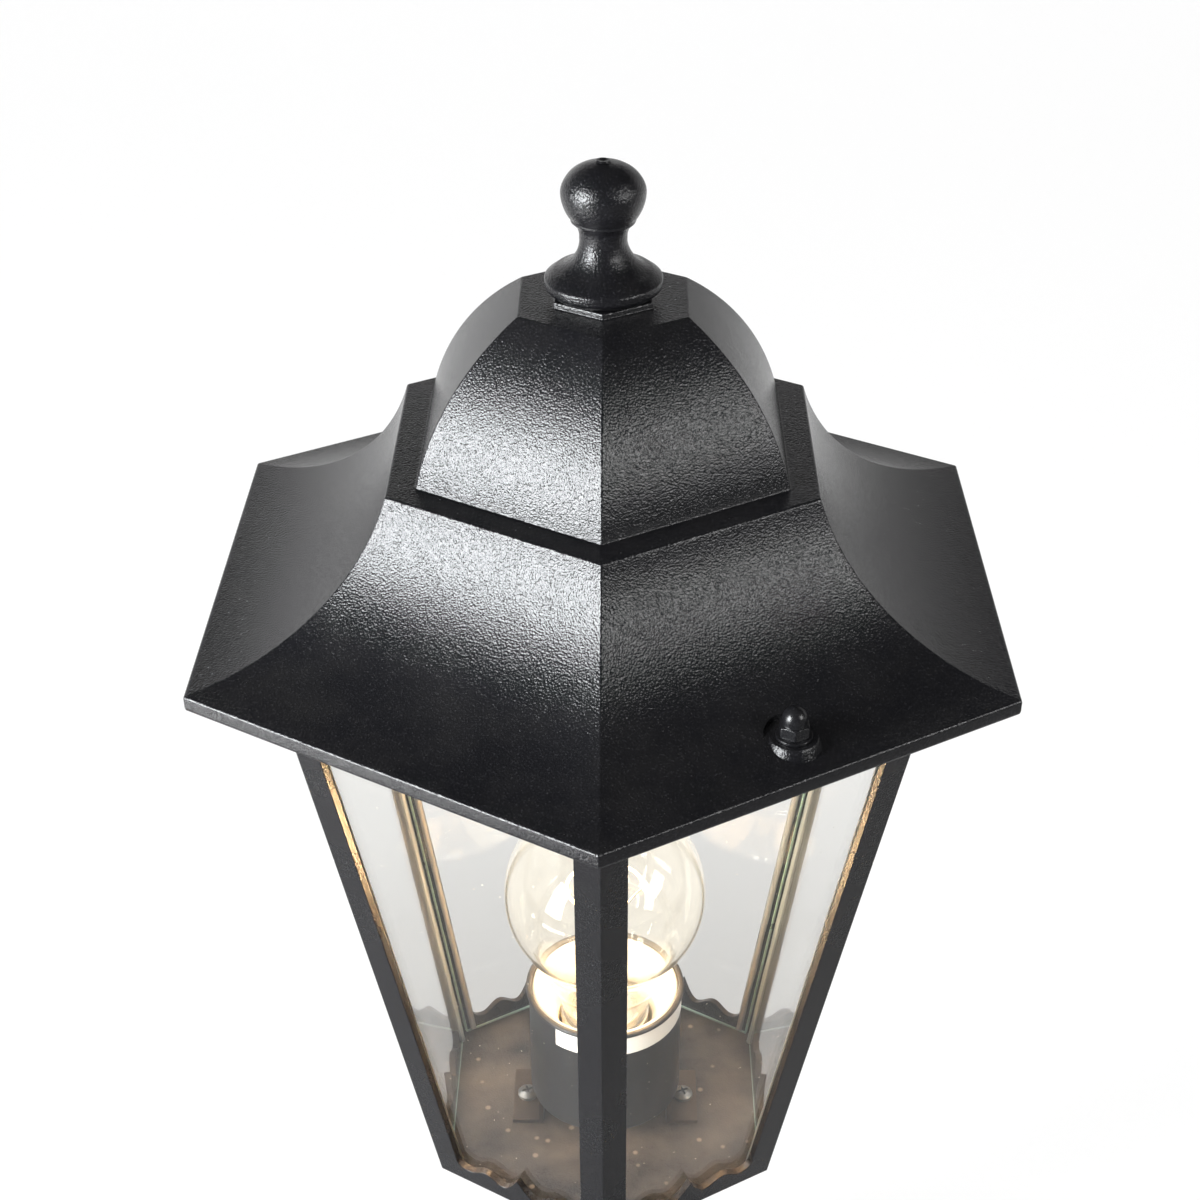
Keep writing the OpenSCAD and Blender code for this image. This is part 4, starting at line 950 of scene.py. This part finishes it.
# %% Sealant beads
def bead(side, hand):
    """Half-round strip up one long side of a pane, uneven as if laid by hand."""
    verts, steps, around = [], 90, 7
    low, high = PANE_LOW + 1, PANE_HIGH - 6
    for i in range(steps + 1):
        v = low + (high - low) * i / steps
        wander = still_noise.noise(Vector((v * 0.11, side * 7.3, hand * 3.1)))
        ripple = still_noise.noise(Vector((v * 0.6, side * 3.7, hand * 9.2)))
        wide, thick = 1.08 + 0.22 * wander, 0.95 + 0.16 * wander + 0.08 * ripple
        middle = face_half(v) - PANE_SIDE - 1.3 - 1.2
        for j in range(around):
            t = math.pi * j / (around - 1)
            verts.append(on_face(side, hand * (middle + wide * math.cos(t)), v,
                                 -PANE_OUT - PANE_T + 0.02 - thick * math.sin(t)))
    strip = new_piece("bead", verts, ring_faces(steps + 1, around), [silicone])
    outward(strip)
    smooth(strip, 60)
    return strip


beads = joined("sealant_beads", [bead(side, hand) for side in range(6) for hand in (-1, 1)])
hand_in(beads, "lantern", "sealant", "pane_sealant")

# %% [markdown]
# ## Specks on the glass
# Close up, the panes carry fine dust and dried specks that catch the lamp's light. Points
# are scattered over each pane with a fixed seed, and each carries a flat flake of a few
# faces. The flakes lie on the glass, so they are seen from both sides.

# %% Specks made by Geometry Nodes
def build_speck_tree():
    tree, given = new_tree("specks on glass", ("Density", "Size"), ("Seed",), shape=True)
    scatter = node(tree, "GeometryNodeDistributePointsOnFaces", {"Mesh": given["Geometry"],
                   "Density": given["Density"], "Seed": given["Seed"]})
    flake = node(tree, "GeometryNodeMeshIcoSphere", {"Radius": given["Size"], "Subdivisions": 1})
    squash = node(tree, "FunctionNodeRandomValue", {0: (0.35, 0.35, 0.12), 1: (1.5, 1.0, 0.3),
                  "Seed": given["Seed"]}, data_type="FLOAT_VECTOR")
    placed = node(tree, "GeometryNodeInstanceOnPoints", {"Points": scatter.outputs["Points"],
                  "Instance": flake.outputs[0], "Rotation": scatter.outputs["Rotation"],
                  "Scale": squash.outputs[0]})
    return hand_out(tree, given, placed)


speck_finish = moulded("pale_specks", (0.88, 0.80, 0.62), 0.6, 900.0, 0.3)
SPECKS = build_speck_tree()


def specks():
    verts, faces = [], []
    for side in range(6):
        for w in (-PANE_OUT, -PANE_OUT - PANE_T):
            faces.append(tuple(range(len(verts), len(verts) + 4)))
            verts += pane_corners(side, w, PANE_LOW + 4, PANE_HIGH - 10, PANE_SIDE + 5)
    piece = new_piece("specks", verts, faces, [])
    return run_tree(piece, SPECKS, Density=2600.0, Size=0.19 * MM, Seed=4, Material=speck_finish)


hand_in(specks(), "lantern", "window_glass")

# %% [markdown]
# ## Lampholder
# A black sleeve with a rolled rim holds a ceramic insert. In the insert sit the brass
# screw shell and the spring tongue that touches the bulb's tip. Round the sleeve runs a
# plain pale band. The whole stands on a small bent bridge, screwed to the floor over the
# end of the threaded tube.

# %% Screws made by Geometry Nodes
def build_screw_tree():
    """Pan-head screws with a cross slot, one on each point of the mesh, heads along +Z."""
    tree, given = new_tree("pan head screws", ("Shank Radius", "Length", "Head Radius", "Head Height",
                                               "Slot Width", "Slot Turn", "Head Down"), shape=True)

    def cone(low_r, high_r, depth, z):
        made = node(tree, "GeometryNodeMeshCone", {"Vertices": 32, "Radius Bottom": low_r,
                                                   "Radius Top": high_r, "Depth": depth})
        return node(tree, "GeometryNodeTransform", {"Geometry": made.outputs[0],
                                                    "Translation": placed_by(tree, z=z)}).outputs[0]

    head, tall = given["Head Radius"], given["Head Height"]
    rim, crown = times(tree, tall, 0.45), times(tree, tall, 0.55)
    below = times(tree, given["Length"], -1.0)
    parts = [cone(given["Shank Radius"], given["Shank Radius"], plus(tree, given["Length"], rim), below),
             cone(head, head, rim, 0.0), cone(head, times(tree, head, 0.5), crown, rim)]
    solid = node(tree, "GeometryNodeMeshBoolean", operation="UNION")
    for part in parts:
        tree.links.new(part, solid.inputs["Mesh 2"])
    cut = node(tree, "GeometryNodeMeshBoolean", {"Mesh 1": solid.outputs[0]}, operation="DIFFERENCE")
    for turned in (0.0, math.pi / 2):
        size = placed_by(tree, times(tree, head, 1.15), given["Slot Width"], tall)
        slot = node(tree, "GeometryNodeMeshCube", {"Size": size})
        placed = node(tree, "GeometryNodeTransform", {
            "Geometry": slot.outputs[0], "Translation": placed_by(tree, z=times(tree, tall, 0.95)),
            "Rotation": placed_by(tree, z=plus(tree, given["Slot Turn"], turned))})
        tree.links.new(placed.outputs[0], cut.inputs["Mesh 2"])
    over = placed_by(tree, times(tree, given["Head Down"], math.pi))
    on_points = node(tree, "GeometryNodeInstanceOnPoints", {"Points": given["Geometry"],
                     "Instance": cut.outputs[0], "Rotation": over})
    return hand_out(tree, given, on_points)


SCREWS = build_screw_tree()


def screws(name, places, radius, length, head_r, head_h, material, down=False, turn=0.4):
    piece = new_piece(name, places, [], [])
    run_tree(piece, SCREWS, Shank_Radius=radius * MM, Length=length * MM, Head_Radius=head_r * MM,
             Head_Height=head_h * MM, Slot_Width=0.7 * MM, Slot_Turn=turn, Head_Down=float(down),
             Material=material)
    outward(piece)
    smooth(piece, 30)
    return piece


# %% Lampholder
SLEEVE_R, SLEEVE_WALL, RIM_R, RIM_H = 23.2, 0.9, 24.1, 1.8


def sleeve():
    inner, half = SLEEVE_R - SLEEVE_WALL, RIM_H / 2
    section = [(14, HOLDER_Z, 0.3), (SLEEVE_R, HOLDER_Z, 1.2), (SLEEVE_R, MOUTH_Z - RIM_H)]
    section += arc(RIM_R - half, MOUTH_Z - half, half, -75, 90, 8)
    section += [(inner + 0.4, MOUTH_Z), (inner, MOUTH_Z - 0.5, 0.2), (inner, HOLDER_Z + SLEEVE_WALL, 0.5),
                (14, HOLDER_Z + SLEEVE_WALL, 0.3), (14, HOLDER_Z)]
    return lathe("holder_sleeve_rolled", soften(section)[:-1], [holder_black], count=96, loop=True)


def insert():
    outer, floor, mouth = SLEEVE_R - SLEEVE_WALL - 0.1, HOLDER_Z + SLEEVE_WALL + 0.1, MOUTH_Z - 0.7
    section = [(0.01, floor), (outer, floor, 0.5), (outer, mouth - 0.2, 0.9), (20.8, mouth, 0.8),
               (20.3, mouth - 3.3, 0.8), (18.3, mouth - 8.3, 0.8), (14.25, mouth - 13.1, 0.4),
               (14.25, HOLDER_Z + 5, 0.5), (0.01, HOLDER_Z + 5)]
    return lathe("holder_insert_glazed", soften(section), [ceramic], count=96)


hand_in(sleeve(), "lantern", "sleeve", "holder_sleeve")
hand_in(insert(), "lantern", "ceramic", "holder_insert")
hand_in(threaded("screw_shell", 14.15, 13.93, HOLDER_Z + 6.5, HOLDER_Z + 24.65, 3.63, 0.36, brass, around=65, along=9,
                 inner_depth=0.36), "lantern", "brass", "holder_shell")
nodes["holder_contact"].data.materials.clear()
nodes["holder_contact"].data.materials.append(brass)
hand_in(softened("holder_band", "plain_band", band_white, 0.05, 1, 60), "lantern", "pale_band", "holder_band")
hand_in(softened("holder_bridge", "bent_bridge", browned, 0.25), "lantern", "steel", "holder_bridge")
hand_in(screws("floor_screws", [(x, 0, FLOOR_Z + 1.5) for x in (-24.5, 24.5)], 1.75, 6, 3.2, 2.2, dull_zinc), "lantern",
        "steel", "bridge_screws")
hand_in(screws("sleeve_screws", [(0, y, HOLDER_Z - 1.5) for y in (-8, 8)], 1.5, 5, 2.7, 1.8, zinc, True), "lantern",
        "steel", "holder_screws")

# %% [markdown]
# ## Bulb
# A clear round bulb with a large screw cap. Its glass is blown, so the globe runs into the
# neck in one smooth curve. Inside, a glass stem carries the lead-in wires and the coiled
# filament, which glows. The coil is a path made by Geometry Nodes: a helix bent round an
# arc, with a thin round wire swept along it. A small lamp in the globe gives the light
# that the filament would, because a path tracer finds so thin a glowing wire only by
# chance.

# %% Bulb
BULB_R, BULB_WALL = 30.0, 0.8


def bulb_line(inset):
    r = BULB_R - inset
    neck = [(12.4 - inset, GLASS_Z + inset), (13.1 - inset, GLASS_Z + 4), (14.2 - inset, GLASS_Z + 8),
            (16.1 - inset, GLASS_Z + 13), (18.1 - inset, GLASS_Z + 17)]
    knots = [Vector(point) for point in neck + arc(0, GLOBE_Z, r, -43, -36, 1)]
    line = [tuple(point) for point in through(knots, 4)]
    return [(0.01, GLASS_Z + inset)] + line + arc(0, GLOBE_Z, r, -36, 89.6, 39)


glass = lathe("bulb_blown_glass", bulb_line(0) + bulb_line(BULB_WALL)[::-1], [lamp_glass], count=96, loop=True,
              sharp=50)
hand_in(glass, "bulb", "lamp_glass", "bulb_glass")
TIP = (0, 0, TIP_Z)
cap_skin = threaded("bulb_cap_skin", 13.2, 12.5, 5.4, 24.8, 3.63, 0.44, nickel, TIP, around=65, along=9)
cap_end = lathe("bulb_cap_end", soften([(8.7, 5), (11.6, 5, 0.6), (12.75, 5.7), (12.5, 6.1, 0.3), (8.7, 5.6),
                                        (8.7, 5)])[:-1], [nickel], TIP, loop=True)
hand_in(joined("bulb_cap_threaded", [cap_skin, cap_end]), "bulb", "lamp_metal", "bulb_cap")
hand_in(lathe("bulb_insulator_cone", soften([(0.01, 1.2), (5, 1.2, 0.5), (8.2, 4.4, 0.4), (8.6, 5), (0.01, 5)]),
              [vitrite], TIP), "bulb", "lamp_insulator", "bulb_insulator")
hand_in(lathe("bulb_tip_solder", soften([(0.01, 0), (2.2, 0.05, 0.8), (4.2, 0.6, 0.8), (4.6, 1.2), (0.01, 1.2)]),
              [tinned], TIP), "bulb", "lamp_metal", "bulb_tip")
STEM_TOP = GLOBE_Z - 14
stem_line = [(0.01, 0.82), (10.4, 0.82, 0.4), (9.1, 3.1, 1.2), (5.4, 9, 3), (3.6, 16, 4), (3.2, 29.8, 1.5),
             (2.2, 33.8, 0.8), (0.01, 33.8)]
hand_in(lathe("bulb_stem_drawn", soften(stem_line), [stem_glass], (0, 0, GLASS_Z)), "bulb", "lamp_glass",
        "bulb_stem")


# %% Filament
def build_coil_tree():
    """A round wire wound as a coil whose middle line is an arc round +Z."""
    tree, given = new_tree("wound coil", ("Arc Radius", "Arc Turn", "Coil Radius", "Wire Radius",
                                          "Height"), ("Coils",))
    count = times(tree, given["Coils"], 9.0)
    line = node(tree, "GeometryNodeCurvePrimitiveLine", {"End": (1.0, 0.0, 0.0)})
    points = node(tree, "GeometryNodeResampleCurve", {"Curve": line.outputs[0], "Count": count})
    along = position(tree, "X")
    wound = times(tree, times(tree, along, given["Coils"]), math.tau)
    swing = times(tree, along, given["Arc Turn"])
    radius = plus(tree, given["Arc Radius"], times(tree, given["Coil Radius"],
                   maths(tree, "COSINE", wound)))
    rise = times(tree, given["Coil Radius"], maths(tree, "SINE", wound))
    where = placed_by(tree, times(tree, radius, maths(tree, "COSINE", swing)),
                      times(tree, radius, maths(tree, "SINE", swing)), plus(tree, given["Height"], rise))
    bent = node(tree, "GeometryNodeSetPosition", {"Geometry": points.outputs[0], "Position": where})
    round_ = node(tree, "GeometryNodeCurvePrimitiveCircle", {"Resolution": 6, "Radius": given["Wire Radius"]})
    swept = node(tree, "GeometryNodeCurveToMesh", {"Curve": bent.outputs[0], "Profile Curve": round_.outputs[0],
                 "Fill Caps": True})
    return hand_out(tree, given, swept)


def tube_along(name, points, radius, material, around=10):
    """A round wire or lead through some points, on one smooth curve, with a UV map along it."""
    knots = [Vector(p) for p in points]
    line = through(knots, 6) + [knots[-1]]
    ways = [(line[min(i + 1, len(line) - 1)] - line[max(i - 1, 0)]).normalized() for i in range(len(line))]
    side, verts = ways[0].orthogonal().normalized(), []
    for i, (point, way) in enumerate(zip(line, ways)):
        if i:
            side.rotate(ways[i - 1].rotation_difference(way))
        other = way.cross(side)
        verts += [point + radius * (side * math.cos(math.tau * j / around) + other * math.sin(math.tau * j / around))
                  for j in range(around)]
    piece = new_piece(name, verts, ring_faces(len(line), around), [material], sharp=50)
    layer = piece.data.uv_layers.new(name="along")
    for loop in piece.data.loops:
        layer.data[loop.index].uv = (loop.vertex_index // around / len(line), loop.vertex_index % around / around)
    outward(piece)
    smooth(piece, 50)
    return piece


RING_Z, RING_R, RING_TURN = GLOBE_Z + 2, 11.0, math.radians(250)
coil = grown("filament_coil", build_coil_tree(), 80, Arc_Radius=RING_R * MM, Arc_Turn=RING_TURN, Coil_Radius=0.42 * MM,
             Wire_Radius=0.13 * MM, Height=RING_Z * MM, Coils=62, Material=glowing)
LEAD_IN_R, HOLDING_R, wires = 0.3, 0.12, []
for degrees, radius in ((0, LEAD_IN_R), (62, HOLDING_R), (125, HOLDING_R), (188, HOLDING_R), (250, LEAD_IN_R)):
    route = [polar(1.2, degrees, STEM_TOP - 1.2), polar(2.6, degrees, STEM_TOP + 2.5),
             polar(7.5, degrees, RING_Z - 4.5), polar(RING_R, degrees, RING_Z)]
    wires.append(tube_along("wire", route, radius, nickel, 8))
hand_in(joined("filament_and_wires", [coil] + wires), "bulb", "filament", "bulb_filament")

# %% [markdown]
# ## Under the bowl and the pedestal
# The body stands on the pedestal with a rubber ring between them, and one long threaded
# tube with a nut at each end holds them together. The mains leads run up through the tube.
# Underneath are a nylon terminal block and the earth screw. Little of this shows, but it
# is what a mechanic finds when the lantern is turned over.

# %% Tube, nuts, seal and terminals
hand_in(threaded("tube_threaded", 5.0, 4.0, 29, FLOOR_Z + 7, 1.5, 0.5, zinc, along=54, around=33), "lantern",
        "steel", "threaded_tube")


def tube_nut(name, z):
    bore, flats, tall = 5.05, 7.0, 4.5
    section = [(bore, 0.4, bore), (bore + 0.5, 0, bore + 0.5), (flats - 0.2, 0, flats - 0.2), (flats, 0.5, 0.5),
               (flats, tall - 0.5, 0.5), (flats - 0.2, tall, flats - 0.2), (bore + 0.5, tall, bore + 0.5),
               (bore, tall - 0.4, bore)]
    nut = hex_loft(name, section, [brass], (0, 0, z), steps=6, turn=30, sharp=38, loop=True)
    weigh_normals(nut)
    return nut


hand_in(tube_nut("tube_nut_top", FLOOR_Z + 1), "lantern", "brass", "tube_nut_upper")
hand_in(tube_nut("tube_nut_low", 34.5), "lantern", "brass", "tube_nut_lower")
hand_in(joined("tube_washer_pair", [round_washer("washer", 5.2, 9.5, 1.0, zinc, (0, 0, z)) for z in (FLOOR_Z, 39)]),
        "lantern", "steel", "tube_washers")
hand_in(round_washer("seal_ring", 13.5, 24, 2.0, rubber, (0, 0, FOOT_H), 0.5), "lantern", "rubber", "bowl_seal")
hand_in(softened("terminal_block", "nylon_block", nylon, 0.5), "lantern", "terminal", "terminal_block")
hand_in(screws("block_screw", [(24, 0, 6)], 1.5, 11, 2.9, 2.0, zinc, True), "lantern", "steel", "terminal_screw")
earth_ring = round_washer("ring", 1.9, 4.0, 0.8, brass, (0, -27, 10.2), 0.15)
hand_in(joined("earth_screw_set", [screws("screw", [(0, -27, 10.2)], 2.0, 5.8, 3.6, 2.4, brass, True, 0.9),
                                   earth_ring]), "lantern", "brass", "earth_screw")
CAP_IN = EAVE_Z + CAP_H - WALL
finial_bolt = hex_loft("bolt_head", [(3.8, 0, 3.8), (4.0, 0.3, 0.4), (4.0, 3.5, 0.4)], [zinc], (0, 0, CAP_IN - 4.5), 5)
bolt_shank = threaded("bolt_shank", 2.45, 0.05, CAP_IN - 1.1, CAP_IN + 14, 0.8, 0.35, zinc, around=25, along=12)
hand_in(joined("finial_bolt", [finial_bolt, bolt_shank]), "roof", "steel", "finial_screw")
hand_in(round_washer("finial_washer_round", 2.75, 5.0, 1.0, zinc, (0, 0, CAP_IN - 1)), "roof", "steel",
        "finial_washer")


# %% Leads
def lead_finish(name, colour, stripe=None):
    material, tree, shader = start(name, colour, 0.42)
    dull = tuple(c * 0.8 for c in colour)
    tone = blend_colours(tree, span(tree, noise(tree, 300.0), 0.35, 0.65), dull, colour)
    if stripe:
        own_map = node(tree, "ShaderNodeTexCoord").outputs["UV"]
        across = node(tree, "ShaderNodeSeparateXYZ", {0: own_map}).outputs["Y"]
        tone = blend_colours(tree, maths(tree, "GREATER_THAN", across, 0.55), tone, stripe)
    tree.links.new(tone, shader.inputs["Base Color"])
    bump(tree, shader, noise(tree, 1500.0), 0.02 * MM)
    return material


LIVE = [(20, 5, 13.9), (19, 5, 17), (15, 4, 20), (9, 3, 21.5), (4, 2.2, 23.2), (1.9, 1.5, 27), (1.9, 1.4, 40),
        (1.9, 1.4, 90), (1.9, 1.4, 140), (2, 1.5, 148.6), (3.1, 2.3, 150.6), (4, 3, 152.6), (4, 3, 154.7)]
NEUTRAL = [(20, -4.2, 13.9), (19, -4, 17), (15, -3, 20), (9, -2, 21.5), (2.5, -1.8, 23.2), (-1.4, -1.5, 27),
           (-1.9, -1.4, 40), (-1.9, -1.4, 90), (-1.9, -1.4, 140), (-2, -1.5, 148.6), (-3.1, -2.3, 150.6),
           (-4, -3, 152.6), (-4, -3, 154.7)]
EARTH = [(20, -9, 13.9), (19.5, -9.6, 16.5), (15, -13, 18.5), (9.5, -17, 17), (6.4, -19.8, 12.8), (4.8, -22.2, 10.4),
         (2.87, -24.13, 10.4)]
LEAD_R = 1.05
brown, blue = lead_finish("brown_lead", (0.16, 0.06, 0.03)), lead_finish("blue_lead", (0.03, 0.12, 0.42))
striped = lead_finish("green_yellow_lead", (0.05, 0.28, 0.06), (0.72, 0.6, 0.05))
for label, slot_name, route, finish in (("live", "lead_brown", LIVE, brown),
                                        ("neutral", "lead_blue", NEUTRAL, blue),
                                        ("earth", "lead_green", EARTH, striped)):
    lead = tube_along(f"{label}_lead_round", route, LEAD_R, finish, 12)
    hand_in(lead, "lantern", slot_name, f"lead_{label}")

# %% [markdown]
# ## Floor and light
# The lantern stands on a plain pale floor before a pale backdrop. To the camera and through
# glass both are white by their own strength; the floor has a share of lit white in it, which
# keeps the object's shadow. In the glossy coat they look darker by place. The roof's looks
# come from where the soft boxes stand: a large one low at the front left, which the steep
# parts of the roof mirror and the flat parts don't, and a weaker one at the front right. A
# short strip low on the left lights the eave. Above it stays dark, so the ledge is black.

# %% Floor, backdrop and lamps
def white_sheet(name, corners, mirrored, share):
    """A plain white sheet: white to the camera and through glass, and in a mirror as bright as
    mirrored says by place; the rest is lit plainly, so that it keeps the object's shadow."""
    material = bpy.data.materials.new(name)
    material.use_nodes = True
    tree = material.node_tree
    tree.nodes.clear()
    where = node(tree, "ShaderNodeSeparateXYZ", {0: node(tree, "ShaderNodeTexCoord").outputs["Object"]}).outputs
    diffuse = node(tree, "ShaderNodeBsdfDiffuse", {"Color": (0.95, 0.95, 0.95, 1)})
    white = node(tree, "ShaderNodeEmission", {"Color": (1, 1, 1, 1)})
    path = node(tree, "ShaderNodeLightPath").outputs
    tree.links.new(plus(tree, times(tree, path["Is Glossy Ray"], mirrored(tree, where)),
                         minus(tree, 1.0, path["Is Glossy Ray"])), white.inputs["Strength"])
    seen = maths(tree, "MAXIMUM", maths(tree, "MAXIMUM", path["Is Camera Ray"], path["Is Glossy Ray"]),
                 path["Is Transmission Ray"])
    mixed = node(tree, "ShaderNodeMixShader", {0: times(tree, seen, share), 1: diffuse.outputs[0],
                 2: white.outputs[0]})
    node(tree, "ShaderNodeOutputMaterial", {"Surface": mixed.outputs[0]})
    mesh = bpy.data.meshes.new(name)
    mesh.from_pydata(corners, [], [(0, 1, 2, 3)])
    mesh.materials.append(material)
    show(bpy.data.objects.new(name, mesh))


def floor_mirrored(tree, where):
    return span(tree, where["Y"], -0.15, 0.35, 0.1, 1.0)


def backdrop_mirrored(tree, where):
    return span(tree, where["X"], -0.5, 0.5, 1.0, 0.6)


def soft_box(name, azimuth, distance, height, size, watts, colour=(1, 1, 1), aim_z=0.36):
    light = bpy.data.lights.new(name, "AREA")
    light.shape, light.size, light.size_y = "RECTANGLE", size[0], size[1]
    light.energy, light.color = watts, colour
    lamp = show(bpy.data.objects.new(name, light))
    lamp.location = polar(distance, azimuth, height)
    lamp.rotation_euler = (Vector((0, 0, aim_z)) - lamp.location).to_track_quat("-Z", "Y").to_euler()


def studio_world():
    world = bpy.data.worlds.new("studio")
    bpy.context.scene.world = world
    world.use_nodes = True
    tree = world.node_tree
    back = tree.nodes["Background"]
    path = node(tree, "ShaderNodeLightPath").outputs
    back.inputs["Color"].default_value = (1, 1, 1, 1)
    seen = maths(tree, "MAXIMUM", path["Is Camera Ray"], path["Is Transmission Ray"])
    fill = span(tree, path["Is Glossy Ray"], 0, 1, 0.5, 0.03)
    tree.links.new(maths(tree, "MAXIMUM", seen, fill), back.inputs["Strength"])


WIDE, BACK_Y, BACK_TOP = 6.0, 2.0, 1.25
white_sheet("pale_floor", [(-WIDE, -WIDE, 0), (WIDE, -WIDE, 0), (WIDE, BACK_Y, 0), (-WIDE, BACK_Y, 0)],
            floor_mirrored, 0.9)
white_sheet("pale_backdrop", [(-WIDE, BACK_Y, 0), (WIDE, BACK_Y, 0), (WIDE, BACK_Y, BACK_TOP),
                              (-WIDE, BACK_Y, BACK_TOP)], backdrop_mirrored, 1.0)
studio_world()
soft_box("soft box left", -149, 1.5, 0.66, (0.75, 1.05), 72, (0.955, 0.98, 1.0))
soft_box("soft box right", -28, 1.6, 1.04, (0.6, 0.7), 12)
soft_box("low strip", -150, 0.46, 0.10, (0.34, 0.03), 0.75, aim_z=0.34)
lamp_light = bpy.data.lights.new("lamp glow", "POINT")
lamp_light.energy, lamp_light.color, lamp_light.shadow_soft_size = 1.5, (1.0, 0.66, 0.36), 0.006
show(bpy.data.objects.new("lamp glow", lamp_light)).location = Vector((0, 0, GLOBE_Z - 4)) * MM
bpy.context.scene.view_settings.view_transform = "Standard"
